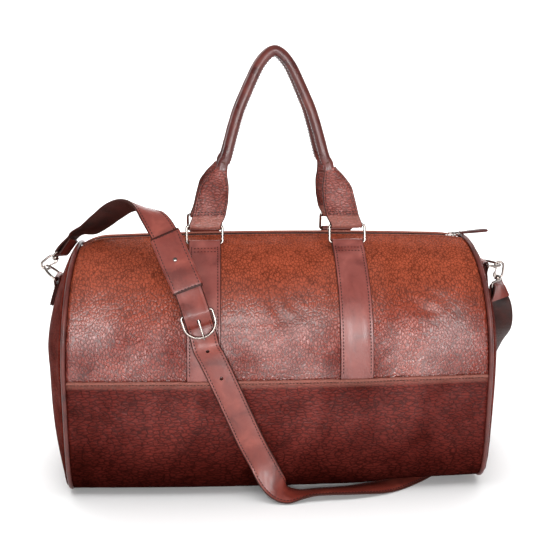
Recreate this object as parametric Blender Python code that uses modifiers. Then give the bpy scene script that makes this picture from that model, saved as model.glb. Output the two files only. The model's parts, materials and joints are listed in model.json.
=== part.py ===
"""Leather travel bag: a soft barrel body, two carrying handles on metal rings, a top zip
and a shoulder strap that clips to a D-ring at each end.

Metres, +Z up, +X to the bag's right end, front at -Y, origin on the floor under the
middle of the bag.
"""

import math

import bmesh
import bpy
from mathutils import Matrix, Vector

COLLECTION = "travel_bag"
CUTTERS = "cutters"

# Clearances shared by every seat
GAP = 0.0003
BAR_PLAY = 0.0005
CUT_OVERRUN = 0.002
WELD = 0.00001

# Bag body: a loaf-shaped section swept along X, a little fuller in the middle
HALF_LENGTH = 0.250
HALF_DEPTH = 0.1225
HEIGHT = 0.297
BELLY_HEIGHT = 0.153
TOP_ROUNDNESS_share = 2.26
BASE_ROUNDNESS_share = 7.5
BASE_FLAT = 0.0006
END_LEAN_share = 0.034
END_TUCK_share = 0.008
BELLY_SWELL_share = 0.084
TOP_ARCH = 0.0044
END_DOME = 0.0300
END_DOME_POWER = 1.6
END_CENTRE_share = 0.5
LEATHER = 0.0017
SEAM_HEIGHT = 0.1465
SEAM_LAP = 0.012
ZIP_OPENING = 0.020
PIPING_DIAMETER = 0.0056
PIPING_SINK = 0.0012
COLUMN_shares = (0.0, 0.28, 0.54, 0.78, 0.90, 0.95, 0.985, 1.0)
CORNER_DROPS = (0.010, 0.003)
CORNER_START_share = 0.86
TOP_ROWS = 10
BASE_ROWS = 10
SECTION_STEPS = 80
DOME_RINGS_shares = (1.0, 0.86, 0.66, 0.42)

# The base lifts clear of the shoulder strap that runs under its right end
LIFT_START_share = 0.38
LIFT_END_share = 0.60

# Lining and base board
LINING = 0.0008
LINING_SLACK = 0.0014
LINING_OPENING = 0.036
LINING_REACH_share = 0.955
LINING_DOME = 0.020
LINING_COLUMNS = 6
LINING_ROWS = 8
BOARD = 0.0020
BOARD_LENGTH_share = 0.86
BOARD_DEPTH_share = 0.55

# Zip
TAPE_WIDTH = 0.0100
TAPE_THICKNESS = 0.0008
TEETH_PER_ROW = 42
TOOTH_HEIGHT = 0.0030
TOOTH_REACH = 0.0022
TOOTH_RAIL = 0.0010
TOOTH_PARTING = 0.0016
CHAIN_DEPTH = 0.0063
CHAIN_ENDS_shares = (0.93, 0.988)
STOP_LENGTH = 0.0022
STOP_WIDTH = 0.0062
SLIDER_LENGTH = 0.0140
SLIDER_WIDTH = 0.0108
SLIDER_NOSE = 0.0080
SLIDER_PLATE = 0.0013
SLIDER_WEB = 0.0009
SLIDER_WEB_LENGTH = 0.0050
BAIL_LENGTH = 0.0080
BAIL_HEIGHT = 0.0042
BAIL_WIRE = 0.0015
LINK_WIRE = 0.0014
LINK_LENGTH = 0.0120
LINK_WIDTH = 0.0080
PULL_LENGTH = 0.0360
PULL_ROOT = 0.0068
PULL_WIDTH = 0.0120
PULL_THICKNESS = 0.0026
PULL_KNUCKLE = 0.0036
PULL_RISE_DEG = 5.0

# Straps sewn down the front and back, each folded round the lower bar of a ring
STRAP_OFFSET = 0.087
STRAP_WIDTH = 0.0385
STRAP_THICKNESS = 0.0017
STRAP_FOLD = 0.021
STRAP_RAMP = 0.010

# Rectangular rings
RING_WIRE = 0.0034
RING_INNER_WIDTH = 0.0400
RING_BAR_SPACING = 0.0214
RING_CORNER = 0.0031
RING_LEAN_DEG = 12.0
RING_FOOT_DEPTH_share = 0.370

# Handles: a leather roll over a cord, with a flat tab at each end folded round a ring
HANDLE_LEAN_DEG = 8.8
HANDLE_RISE = 0.2100
HANDLE_DIAMETER = 0.0132
HANDLE_LEATHER = 0.0020
HANDLE_SLIT = 0.0005
HANDLE_SIDES = 10
TAB_WIDTH = 0.0385
TAB_THICKNESS = 0.0020
TAB_BACK_share = 0.275
HANDLE_PATH_shares = (
    (0.735, 0.356),
    (0.695, 0.383),
    (0.640, 0.465),
    (0.586, 0.550),
    (0.500, 0.665),
    (0.402, 0.761),
    (0.320, 0.838),
    (0.230, 0.914),
    (0.170, 0.950),
    (0.115, 0.976),
    (0.055, 0.996),
    (0.000, 1.004),
)
TAB_shares = (
    (1.000, 0.000, 1.00),
    (0.943, 0.045, 1.05),
    (0.897, 0.134, 1.04),
    (0.862, 0.225, 0.94),
    (0.815, 0.290, 0.62),
    (0.751, 0.337, 0.36),
)

# D-rings on the end panels, left and right
D_HEIGHTS = (0.243, 0.254)
D_RISES_DEG = (42.0, -6.0)
D_STANDOFFS = (0.0, 0.0045)
D_WIRE = 0.0034
D_INNER_WIDTH = 0.0330
D_REACH = 0.0222
D_TAB_WIDTH = 0.0300
D_TAB_LENGTH = 0.0320
D_TAB_THICKNESS = 0.0020

# Snap hooks: from the D-ring's wire to the bar that holds the strap
HOOK_REACH = 0.0280
HOOK_AXES_DEG = (38.0, -94.6)
HOOK_TURNS_DEG = (74.0, -53.0)
HOOK_WIRE = 0.0030
HOOK_BOW_WIDTH = 0.0116
HOOK_NOSE = 0.0020
HOOK_COLLAR_DIAMETER = 0.0088
HOOK_COLLAR_START_share = 0.550
HOOK_COLLAR_LENGTH = 0.0046
EYE_WIRE = 0.0026
EYE_INNER_WIDTH = 0.0336
EYE_HEIGHT = 0.0063
EYE_CORNER = 0.0022
POST_DIAMETER = 0.0032
POST_PLAY = 0.0004
POST_HEAD_DIAMETER = 0.0050
POST_HEAD_LENGTH = 0.0014
GATE_WIRE = 0.0020
GATE_BARREL_DIAMETER = 0.0030
GATE_BARREL_LENGTH = 0.0024
GATE_PIN_DIAMETER = 0.0011
GATE_PLAY = 0.0003
GATE_PLACE_shares = (0.164, 0.429)
GATE_TIP_shares = (0.108, 0.116)
CHEEK = 0.0010
CHEEK_START_share = 0.108
CHEEK_FOOT_share = 0.379

# Shoulder strap, its buckle and the sleeve that holds the tail
SHOULDER_WIDTH = 0.0320
SHOULDER_THICKNESS = 0.0026
SHOULDER_FOLD = 0.022
SHOULDER_CLEAR = 0.0008
FOLD_BLEND = 0.024
CURVE_STEPS = 2
BUCKLE_WIRE = 0.0032
BUCKLE_INNER_WIDTH = 0.0340
BUCKLE_LENGTH = 0.0290
BUCKLE_SIDE_share = 0.42
PRONG_WIRE = 0.0026
PRONG_BARREL_LENGTH = 0.0036
PRONG_PLAY = 0.0004
SLOT_PLAY = 0.0006
HOLE_PLAY = 0.0012
HOLE_DIAMETER = 0.0044
HOLE_SPACING = 0.0385
HOLE_COUNT = 2
SLEEVE_LENGTH = 0.072
SLEEVE_FOOT = 0.027
SLEEVE_LEATHER = 0.0016
SLEEVE_PLAY = 0.0005
RIVET_DIAMETER = 0.0050
RIVET_SHANK = 0.0022
RIVET_HEIGHT = 0.0014
RIVET_PLACE_share = 0.47
TAIL_END_share = 0.80

# Shoulder strap stations: place as shares of half length, half depth and height, then
# the direction across the strap
SHORT_STATIONS_shares = (
    (-1.0060, 0.0360, 0.9960, 0.280, 0.945, -0.170),
    (-0.9700, 0.0100, 1.0160, 0.390, 0.860, -0.300),
    (-0.9220, -0.0245, 1.0305, 0.475, 0.743, -0.472),
    (-0.8624, -0.0980, 1.0692, 0.487, 0.637, -0.597),
    (-0.8030, -0.1796, 1.1108, 0.497, 0.588, -0.638),
    (-0.7492, -0.2776, 1.1416, 0.576, 0.601, -0.554),
    (-0.6944, -0.3837, 1.1561, 0.694, 0.550, -0.465),
    (-0.6434, -0.4980, 1.1519, 0.853, 0.394, -0.344),
    (-0.6008, -0.6204, 1.1323, 0.968, 0.200, -0.150),
    (-0.5416, -0.7592, 1.0707, 0.981, 0.091, 0.173),
    (-0.4904, -0.8816, 0.9771, 0.964, 0.084, 0.252),
    (-0.4300, -1.0100, 0.8680, 0.953, 0.078, 0.290),
)
BUCKLE_BAR_shares = (-0.3912, -1.0759, 0.7748)
BUCKLE_ACROSS_share = (0.975, 0.060, 0.215)
BUCKLE_DOWN_share = (0.282, -0.175, -0.943)
BELOW_BUCKLE_shares = (-0.3460, -1.1184, 0.6377, 0.969, -0.013, 0.247)
FRONT_STATIONS_shares = (
    (-0.3236, 0.5953),
    (-0.2600, 0.4771),
    (-0.2024, 0.3643),
    (-0.1416, 0.2455),
    (-0.0892, 0.1576),
)
FLOOR_STATIONS_shares = (
    (-0.0400, -1.1306, 0.0808, 0.85, 0.35, 0.35),
    (0.0160, -1.1347, 0.0320, 0.60, 0.75, 0.10),
    (0.0880, -1.0980, 0.0152, 0.25, 0.95, -0.10),
    (0.1800, -1.0735, 0.0175, 0.05, 0.97, -0.20),
    (0.3600, -1.0408, 0.0152, 0.02, 0.98, -0.14),
    (0.5200, -0.9388, 0.0074, 0.29, 0.95, 0.00),
    (0.6600, -0.7592, 0.0064, 0.62, 0.78, 0.00),
    (0.8000, -0.4898, 0.0064, -0.74, -0.67, 0.00),
    (0.9280, -0.1633, 0.0064, -0.83, -0.55, 0.00),
    (1.0280, 0.2041, 0.0064, -0.86, 0.51, 0.00),
    (1.1120, 0.4898, 0.0135, -0.87, 0.50, 0.00),
    (1.1760, 0.6122, 0.0606, -0.87, 0.50, 0.00),
    (1.2120, 0.5878, 0.1684, -0.57, 0.82, 0.00),
    (1.2240, 0.4735, 0.3030, 0.26, 0.97, 0.00),
    (1.2200, 0.3265, 0.4545, 0.91, 0.42, 0.00),
    (1.2080, 0.0400, 0.6061, 0.94, -0.34, 0.00),
)


def smooth(t):
    t = min(max(t, 0.0), 1.0)
    return t * t * (3.0 - 2.0 * t)


def between(a, b, t):
    return a + (b - a) * t


# Scene and object helpers


def clear_scene():
    for obj in list(bpy.data.objects):
        bpy.data.objects.remove(obj, do_unlink=True)


def collection(name, hidden=False):
    group = bpy.data.collections.new(name)
    bpy.context.scene.collection.children.link(group)
    group.hide_render = hidden
    return group


def finish_material(name, colour, metallic, roughness):
    material = bpy.data.materials.new(name)
    material.use_nodes = True
    shader = material.node_tree.nodes["Principled BSDF"]
    shader.inputs["Base Color"].default_value = (*colour, 1.0)
    shader.inputs["Metallic"].default_value = metallic
    shader.inputs["Roughness"].default_value = roughness
    return material


def finishes(name):
    table = {
        "leather": ((0.23, 0.055, 0.028), 0.0, 0.38),
        "dark_leather": ((0.13, 0.030, 0.020), 0.0, 0.42),
        "strap_leather": ((0.20, 0.045, 0.025), 0.0, 0.40),
        "fabric": ((0.055, 0.045, 0.040), 0.0, 0.90),
        "board": ((0.10, 0.085, 0.070), 0.0, 0.85),
        "metal": ((0.82, 0.80, 0.77), 1.0, 0.16),
    }
    return table[name]


def dress(obj, finish):
    obj.data.materials.clear()
    obj.data.materials.append(finish_material(obj.name, *finishes(finish)))


def link(obj, hidden=False):
    group = bpy.data.collections[CUTTERS if hidden else COLLECTION]
    group.objects.link(obj)
    if hidden:
        obj.hide_render = True
        obj.display_type = "WIRE"
    return obj


def mesh_from(name, points, faces):
    mesh = bpy.data.meshes.new(name)
    mesh.from_pydata([tuple(p) for p in points], [], [tuple(f) for f in faces])
    mesh.validate()
    mesh.update()
    return mesh


def mesh_object(name, mesh, finish, matrix=None, rounded=True):
    obj = bpy.data.objects.new(name, mesh)
    link(obj)
    dress(obj, finish)
    if rounded:
        mesh.shade_smooth()
    if matrix is not None:
        obj.matrix_world = matrix
    return obj


def facing_out(mesh):
    """Closed mesh with its faces turned outwards."""
    work = bmesh.new()
    work.from_mesh(mesh)
    bmesh.ops.recalc_face_normals(work, faces=work.faces)
    if work.calc_volume(signed=True) < 0.0:
        bmesh.ops.reverse_faces(work, faces=work.faces)
    work.to_mesh(mesh)
    work.free()
    return mesh


def add_shell(obj, thickness):
    shell = obj.modifiers.new("thickness", "SOLIDIFY")
    shell.thickness = thickness
    shell.offset = -1.0
    shell.use_even_offset = True
    return shell


def add_bevel(obj, width, segments=2):
    bevel = obj.modifiers.new("edges", "BEVEL")
    bevel.width = width
    bevel.segments = segments
    bevel.limit_method = "ANGLE"
    bevel.angle_limit = math.radians(50.0)
    return bevel


def add_boolean(obj, mesh, operation):
    helper = bpy.data.objects.new(obj.name + "_" + operation.lower(), mesh)
    link(helper, hidden=True)
    helper.matrix_world = obj.matrix_world.copy()
    boolean = obj.modifiers.new(operation.lower(), "BOOLEAN")
    boolean.solver = "EXACT"
    boolean.operation = operation
    boolean.object = helper
    return boolean


# Meshes made in a local frame


def wire_curve(name, points, radius, closed, sides=8):
    curve = bpy.data.curves.new(name, "CURVE")
    curve.dimensions = "3D"
    curve.bevel_depth = radius
    curve.bevel_resolution = sides // 2 - 2
    curve.use_fill_caps = not closed
    spline = curve.splines.new("POLY")
    spline.points.add(len(points) - 1)
    for place, point in zip(spline.points, points):
        place.co = (*point, 1.0)
    spline.use_cyclic_u = closed
    return curve


def wire_object(name, points, radius, closed, finish, matrix=None, sides=8):
    obj = bpy.data.objects.new(name, wire_curve(name, points, radius, closed, sides))
    link(obj)
    dress(obj, finish)
    if matrix is not None:
        obj.matrix_world = matrix
    return obj


def wire_mesh(name, points, radius, closed, sides=8):
    source = bpy.data.objects.new(name, wire_curve(name, points, radius, closed, sides))
    link(source, hidden=True)
    bpy.context.view_layer.update()
    graph = bpy.context.evaluated_depsgraph_get()
    mesh = bpy.data.meshes.new_from_object(source.evaluated_get(graph))
    bpy.data.objects.remove(source, do_unlink=True)
    work = bmesh.new()
    work.from_mesh(mesh)
    bmesh.ops.remove_doubles(work, verts=work.verts, dist=WELD)
    work.to_mesh(mesh)
    work.free()
    return facing_out(mesh)


def rod_mesh(start, end, radius, sides=12):
    start = Vector(start)
    axis = Vector(end) - start
    work = bmesh.new()
    turn = axis.to_track_quat("Z", "Y").to_matrix().to_4x4()
    place = Matrix.Translation(start + axis / 2.0) @ turn
    bmesh.ops.create_cone(
        work,
        cap_ends=True,
        segments=sides,
        radius1=radius,
        radius2=radius,
        depth=axis.length,
        matrix=place,
    )
    mesh = bpy.data.meshes.new("rod")
    work.to_mesh(mesh)
    work.free()
    return facing_out(mesh)


def box_mesh(low, high):
    low = Vector(low)
    high = Vector(high)
    work = bmesh.new()
    scale = Matrix.Diagonal((*(high - low), 1.0))
    bmesh.ops.create_cube(work, size=1.0, matrix=Matrix.Translation((low + high) / 2.0) @ scale)
    mesh = bpy.data.meshes.new("box")
    work.to_mesh(mesh)
    work.free()
    return facing_out(mesh)


def plate_mesh(outline, low, high):
    """Flat outline in X and Y, extruded in Z."""
    count = len(outline)
    points = [(x, y, low) for x, y in outline] + [(x, y, high) for x, y in outline]
    faces = [tuple(range(count)), tuple(range(count, 2 * count))]
    for i in range(count):
        j = (i + 1) % count
        faces.append((i, j, count + j, count + i))
    return facing_out(mesh_from("plate", points, faces))


def loft_mesh(name, sections, closed=False, pairs=None):
    """Solid through rings of points that all hold the same number of points.

    With pairs, each four-sided face is split in two, and a side of the ring that is listed
    splits along its other diagonal, so that two facing sides of a twisted strip stay parallel.
    """
    sides = len(sections[0])
    points = [point for section in sections for point in section]
    faces = []
    last = len(sections) if closed else len(sections) - 1
    for i in range(last):
        for k in range(sides):
            a = i * sides + k
            b = i * sides + (k + 1) % sides
            c = ((i + 1) % len(sections)) * sides + (k + 1) % sides
            d = ((i + 1) % len(sections)) * sides + k
            if pairs is None:
                faces.append((a, b, c, d))
            elif k in pairs:
                faces += [(a, b, d), (b, c, d)]
            else:
                faces += [(a, b, c), (a, c, d)]
    if not closed:
        faces.append(tuple(range(sides)))
        faces.append(tuple(range((len(sections) - 1) * sides, len(sections) * sides)))
    return facing_out(mesh_from(name, points, faces))


def rounded_rectangle(half_width, half_height, corner, steps=3):
    """Closed path in X and Z, centred on the origin."""
    path = []
    centres = ((1, 1), (-1, 1), (-1, -1), (1, -1))
    for turn, (sx, sz) in enumerate(centres):
        cx = sx * (half_width - corner)
        cz = sz * (half_height - corner)
        for i in range(steps + 1):
            angle = math.pi / 2.0 * (turn + i / steps)
            path.append((cx + corner * math.cos(angle), 0.0, cz + corner * math.sin(angle)))
    return path


# Section of the bag, from the middle of the top down one side to the middle of the base


def section_curve():
    points = []
    top = HEIGHT - BELLY_HEIGHT
    for i in range(SECTION_STEPS + 1):
        angle = math.pi / 2.0 * (1.0 - i / SECTION_STEPS)
        y = HALF_DEPTH * max(math.cos(angle), 0.0) ** (2.0 / TOP_ROUNDNESS_share)
        z = BELLY_HEIGHT + top * max(math.sin(angle), 0.0) ** (2.0 / TOP_ROUNDNESS_share)
        points.append((y, z))
    for i in range(1, SECTION_STEPS + 1):
        angle = math.pi / 2.0 * i / SECTION_STEPS
        y = HALF_DEPTH * max(math.cos(angle), 0.0) ** (2.0 / BASE_ROUNDNESS_share)
        z = BELLY_HEIGHT * (1.0 - max(math.sin(angle), 0.0) ** (2.0 / BASE_ROUNDNESS_share))
        points.append((y, max((z - BASE_FLAT) * BELLY_HEIGHT / (BELLY_HEIGHT - BASE_FLAT), 0.0)))
    return points


SECTION = section_curve()


def section_measures():
    """Length along the section at each point, and length mixed with turning."""
    lengths = [0.0]
    mixed = [0.0]
    heading = None
    for a, b in zip(SECTION, SECTION[1:]):
        step = math.hypot(b[0] - a[0], b[1] - a[1])
        angle = math.atan2(b[1] - a[1], b[0] - a[0])
        turned = abs(angle - heading) if heading is not None else 0.0
        heading = angle
        lengths.append(lengths[-1] + step)
        mixed.append(mixed[-1] + step + HALF_DEPTH * 0.75 * turned)
    return lengths, mixed


LENGTHS, MIXED = section_measures()


def look_up(keys, values, key):
    if key <= keys[0]:
        return values[0]
    for i in range(1, len(keys)):
        if key <= keys[i]:
            span = keys[i] - keys[i - 1]
            t = (key - keys[i - 1]) / span if span > 0.0 else 0.0
            return between(values[i - 1], values[i], t)
    return values[-1]


def section_point(s):
    y = look_up(LENGTHS, [p[0] for p in SECTION], s)
    z = look_up(LENGTHS, [p[1] for p in SECTION], s)
    return y, z


def section_normal(s):
    reach = HALF_DEPTH * 0.02
    a = section_point(max(s - reach, 0.0))
    b = section_point(min(s + reach, LENGTHS[-1]))
    if s < reach:
        a = (-b[0], b[1])
    ty, tz = b[0] - a[0], b[1] - a[1]
    size = math.hypot(ty, tz)
    return -tz / size, ty / size


def length_at_height(z):
    for i in range(1, len(SECTION)):
        if SECTION[i][1] <= z:
            a = SECTION[i - 1][1]
            b = SECTION[i][1]
            return between(LENGTHS[i - 1], LENGTHS[i], (a - z) / (a - b))
    return LENGTHS[-1]


def length_at_depth(y):
    """Length along the upper half at which the section is this far from the middle."""
    for i in range(1, len(SECTION)):
        if SECTION[i][0] >= y:
            a = SECTION[i - 1][0]
            b = SECTION[i][0]
            return between(LENGTHS[i - 1], LENGTHS[i], (y - a) / (b - a))
    return LENGTHS[-1]


def rows_between(start, end, count):
    """Lengths from start to end, closer together where the section turns fast."""
    a = look_up(LENGTHS, MIXED, start)
    b = look_up(LENGTHS, MIXED, end)
    return [look_up(MIXED, LENGTHS, between(a, b, i / count)) for i in range(count + 1)]


def half_length_at(z):
    above = min(max((z - BELLY_HEIGHT) / (HEIGHT - BELLY_HEIGHT), 0.0), 1.0)
    below = min(max((BELLY_HEIGHT - z) / BELLY_HEIGHT, 0.0), 1.0)
    return HALF_LENGTH * (1.0 - END_LEAN_share * above**1.5 - END_TUCK_share * below**2)


def lift_at(x, z):
    start = LIFT_START_share * HALF_LENGTH
    end = LIFT_END_share * HALF_LENGTH
    rise = SHOULDER_THICKNESS + 2.0 * SHOULDER_CLEAR
    return rise * smooth((x - start) / (end - start)) * max(0.0, 1.0 - z / BELLY_HEIGHT)


def drop_at(u, z):
    """How far the top corner at an end has sunk."""
    drop = CORNER_DROPS[0] if u < 0.0 else CORNER_DROPS[1]
    t = (min(abs(u), 1.0) - CORNER_START_share) / (1.0 - CORNER_START_share)
    return drop * max(t, 0.0) ** 2 * (max(z, 0.0) / HEIGHT) ** 6


def bulged(u, y, z):
    """Place on the bag for a point of the plain section at a share u of its half length."""
    x = u * half_length_at(z)
    swell = max(1.0 - u * u, 0.0)
    y = y * (1.0 + BELLY_SWELL_share * swell)
    settled = z + TOP_ARCH * swell * (z / HEIGHT) ** 2 - drop_at(u, z)
    return Vector((x, y, settled + lift_at(x, z)))


def skin(u, s, inset, side=1.0):
    y, z = section_point(s)
    ny, nz = section_normal(s)
    return bulged(u, side * (y - inset * ny), z - inset * nz)


S_ZIP = length_at_depth(ZIP_OPENING / 2.0)
S_SEAM = length_at_height(SEAM_HEIGHT)
S_LAP = S_SEAM + SEAM_LAP
S_END = LENGTHS[-1]
PANEL_INSET = LEATHER + GAP
LINING_INSET = 2.0 * LEATHER + GAP + LINING_SLACK
PANEL_ROWS = rows_between(S_ZIP, S_SEAM, TOP_ROWS) + [S_LAP]
BASE_SIDE_ROWS = [S_SEAM] + rows_between(S_LAP, S_END, BASE_ROWS)
COLUMN_PLACES = [-u for u in reversed(COLUMN_shares)] + list(COLUMN_shares[1:])


def on_rows(u, s, height, side):
    """Point over the panel's facets at length s, raised from the true skin by height."""
    rows = PANEL_ROWS
    for a, b in zip(rows, rows[1:]):
        if s <= b or b == rows[-1]:
            t = (s - a) / (b - a)
            return skin(u, a, -height, side).lerp(skin(u, b, -height, side), t)
    return skin(u, s, -height, side)


def grid_faces(rows, columns):
    faces = []
    for i in range(rows - 1):
        for j in range(columns - 1):
            a = i * columns + j
            faces.append((a, a + 1, a + columns + 1, a + columns))
    return faces


def shell_object(name, points, faces, finish, thickness):
    """Open surface turned to face away from the bag's middle, then thickened inwards."""
    mesh = mesh_from(name, points, faces)
    middle = Vector((0.0, 0.0, HEIGHT / 2.0))
    outward = sum(f.normal.dot(f.center - middle) * f.area for f in mesh.polygons)
    if outward < 0.0:
        mesh.flip_normals()
    obj = mesh_object(name, mesh, finish)
    add_shell(obj, thickness)
    return obj


def make_upper_panel(name, side):
    points = [skin(u, s, PANEL_INSET, side) for s in PANEL_ROWS for u in COLUMN_PLACES]
    faces = grid_faces(len(PANEL_ROWS), len(COLUMN_PLACES))
    return shell_object(name, points, faces, "leather", LEATHER)


def make_base_wrap():
    around = [(s, 1.0) for s in BASE_SIDE_ROWS]
    around += [(s, -1.0) for s in reversed(BASE_SIDE_ROWS[:-1])]
    points = [skin(u, s, 0.0, side) for s, side in around for u in COLUMN_PLACES]
    faces = grid_faces(len(around), len(COLUMN_PLACES))
    return shell_object("base_wrap", points, faces, "dark_leather", LEATHER)


def ring_places():
    """Section lengths and sides once round a closed end outline, from the top middle."""
    down = [0.0] + PANEL_ROWS[1:-1:2] + BASE_SIDE_ROWS[1:]
    return [(s, 1.0) for s in down] + [(s, -1.0) for s in reversed(down[1:-1])]


def end_outline(inset):
    outline = []
    for s, side in ring_places():
        y, z = section_point(s)
        ny, nz = section_normal(s)
        outline.append((side * (y - inset * ny), z - inset * nz))
    return outline


def make_piping(name, end):
    radius = PIPING_DIAMETER / 2.0
    path = []
    for y, z in end_outline(PIPING_SINK):
        z = max(z, radius)
        x = end * (half_length_at(z) + GAP + radius)
        path.append((x, y, z + lift_at(x, z) - drop_at(end, z)))
    return wire_object(name, path, radius, True, "dark_leather", sides=6)


def dome_point(end, y, z, share, start, rise):
    x = end * (half_length_at(z) + start + rise * (1.0 - share**END_DOME_POWER))
    return Vector((x, y, z + lift_at(x, z) - drop_at(end, z)))


def end_panel_start():
    return PIPING_DIAMETER + 2.0 * GAP + LEATHER


def make_end_panel(name, end):
    outline = end_outline(PIPING_SINK + LEATHER)
    centre = HEIGHT * END_CENTRE_share
    points = []
    for share in DOME_RINGS_shares:
        for y, z in outline:
            z = centre + share * (z - centre)
            points.append(dome_point(end, share * y, z, share, end_panel_start(), END_DOME))
    count = len(outline)
    rings = len(DOME_RINGS_shares)
    points.append(dome_point(end, 0.0, centre, 0.0, end_panel_start(), END_DOME))
    faces = []
    for i in range(rings - 1):
        for k in range(count):
            n = (k + 1) % count
            faces.append((i * count + k, i * count + n, (i + 1) * count + n, (i + 1) * count + k))
    for k in range(count):
        faces.append(((rings - 1) * count + k, (rings - 1) * count + (k + 1) % count, rings * count))
    return shell_object(name, points, faces, "leather", LEATHER)


def make_lining():
    down = [length_at_depth(LINING_OPENING / 2.0)]
    down = rows_between(down[0], S_SEAM, LINING_ROWS // 2)
    down += rows_between(S_SEAM, S_END, LINING_ROWS)[1:]
    around = [(s, 1.0) for s in down] + [(s, -1.0) for s in reversed(down[:-1])]
    count = len(around)
    columns = LINING_COLUMNS
    points = []
    rings = []
    for i in range(columns + 1):
        u = LINING_REACH_share * (-1.0 + 2.0 * i / columns)
        rings.append([skin(u, s, LINING_INSET, side) for s, side in around])
    centre = HEIGHT * END_CENTRE_share
    for end, ring in ((-1.0, rings[0]), (1.0, rings[-1])):
        for share in (0.72, 0.38):
            inner = []
            for p in ring:
                z = centre + share * (p.z - centre)
                dome = LINING_DOME * (1.0 - share * share)
                inner.append(Vector((p.x + end * dome, share * p.y, z)))
            if end < 0.0:
                rings.insert(0, inner)
            else:
                rings.append(inner)
    for ring in rings:
        points += ring
    faces = []
    for i in range(len(rings) - 1):
        for k in range(count):
            n = (k + 1) % count
            open_top = k == count - 1 and 1 <= i < 3 + columns
            if not open_top:
                faces.append((i * count + k, i * count + n, (i + 1) * count + n, (i + 1) * count + k))
    reach = half_length_at(centre) * LINING_REACH_share + LINING_DOME
    for end, first in ((-1.0, 0), (1.0, (len(rings) - 1) * count)):
        tip = len(points)
        points.append(Vector((end * reach, 0.0, centre)))
        for k in range(count):
            n = (k + 1) % count
            pair = (first + n, first + k) if end < 0.0 else (first + k, first + n)
            faces.append((*pair, tip))
    return shell_object("lining", points, faces, "fabric", LINING)


def make_base_board():
    inset = LINING_INSET + LINING + GAP + LINING_SLACK / 2.0
    depths = [-BOARD_DEPTH_share + BOARD_DEPTH_share * i for i in range(3)]
    places = [BOARD_LENGTH_share * (-1.0 + 2.0 * i / 10) for i in range(11)]
    points = []
    for share in depths:
        for u in places:
            p = bulged(u, share * HALF_DEPTH, 0.0)
            points.append(Vector((p.x, p.y, p.z + inset + BOARD)))
    mesh = mesh_from("base_board", points, grid_faces(len(depths), len(places)))
    if mesh.polygons[0].normal.z < 0.0:
        mesh.flip_normals()
    obj = mesh_object("base_board", mesh, "board")
    add_shell(obj, BOARD)
    return obj


# Zip


def chain_level():
    """Height of the zip's chain, which runs straight so that the slider can follow it."""
    return HEIGHT - CHAIN_DEPTH


def chain_end(end):
    share = CHAIN_ENDS_shares[0] if end < 0.0 else CHAIN_ENDS_shares[1]
    return end * share * half_length_at(HEIGHT)


def tape_start():
    return TOOTH_PARTING / 2.0 + TOOTH_REACH + TOOTH_RAIL + GAP


def tape_seat(u, y, side):
    """Middle of the tape where it lies under the folded edge of the panel."""
    s = length_at_depth(y)
    return skin(u, s, PANEL_INSET + LEATHER + 2.5 * GAP + TAPE_THICKNESS / 2.0, side)


def make_zip_tape(name, side):
    """Tape that lies under the panel's edge and dips to the straight chain."""
    half = TAPE_THICKNESS / 2.0
    sections = []
    for u in COLUMN_PLACES[2:-1]:
        seat = tape_seat(u, ZIP_OPENING / 2.0, side)
        far = tape_seat(u, tape_start() + TAPE_WIDTH, side)
        low = min(chain_level(), seat.z)
        middle = [
            Vector((seat.x, side * tape_start(), low)),
            Vector((seat.x, side * (tape_start() + TAPE_THICKNESS * 2.0), low)),
            seat,
            far,
        ]
        ring = [p + Vector((0.0, 0.0, -half)) for p in middle]
        ring += [p + Vector((0.0, 0.0, half)) for p in reversed(middle)]
        sections.append(ring)
    return mesh_object(name, loft_mesh(name, sections), "fabric", rounded=False)


def make_teeth(name, side, phase):
    """One row of zip teeth: a rail with a tooth on every pitch."""
    first = chain_end(-1.0) + STOP_LENGTH + GAP
    last = chain_end(1.0) - STOP_LENGTH - GAP
    pitch = (last - first) / TEETH_PER_ROW
    inner = TOOTH_PARTING / 2.0
    rail = inner + TOOTH_REACH
    outer = rail + TOOTH_RAIL
    edges = [first]
    filled = []
    for i in range(TEETH_PER_ROW):
        start = first + pitch * (i + phase)
        if start - edges[-1] > pitch * 0.1:
            edges.append(start)
            filled.append(False)
        stop = min(start + pitch / 2.0, last)
        edges.append(stop)
        filled.append(True)
    if last - edges[-1] > pitch * 0.1:
        edges.append(last)
        filled.append(False)
    points = []
    for x in edges:
        points += [Vector((x, side * y, chain_level() + TOOTH_HEIGHT / 2.0)) for y in (inner, rail, outer)]
    faces = []
    for i, tooth in enumerate(filled):
        a = 3 * i
        faces.append((a + 1, a + 2, a + 5, a + 4))
        if tooth:
            faces.append((a, a + 1, a + 4, a + 3))
    used = sorted({k for face in faces for k in face})
    index = {k: i for i, k in enumerate(used)}
    mesh = mesh_from(name, [points[k] for k in used], [[index[k] for k in f] for f in faces])
    if mesh.polygons[0].normal.z < 0.0:
        mesh.flip_normals()
    obj = mesh_object(name, mesh, "metal", rounded=False)
    add_shell(obj, TOOTH_HEIGHT)
    return obj


def make_zip_stop(name, end):
    outer = chain_end(end)
    inner = outer - end * STOP_LENGTH
    half = TOOTH_HEIGHT / 2.0
    low = (min(inner, outer), -STOP_WIDTH / 2.0, chain_level() - half)
    high = (max(inner, outer), STOP_WIDTH / 2.0, chain_level() + half)
    obj = mesh_object(name, box_mesh(low, high), "metal", rounded=False)
    add_bevel(obj, STOP_LENGTH * 0.15, 1)
    return obj


def slider_centre():
    return chain_end(1.0) - STOP_LENGTH - GAP - SLIDER_LENGTH / 2.0


def slider_frame():
    return Matrix.Translation((slider_centre(), 0.0, chain_level()))


def slider_outline():
    half = SLIDER_LENGTH / 2.0
    waist = half * 0.35
    sides = (
        (half, SLIDER_NOSE / 2.0),
        (waist, SLIDER_WIDTH / 2.0),
        (-waist, SLIDER_WIDTH / 2.0),
        (-half, SLIDER_NOSE / 2.0),
    )
    return list(sides) + [(x, -y) for x, y in reversed(sides)]


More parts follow.
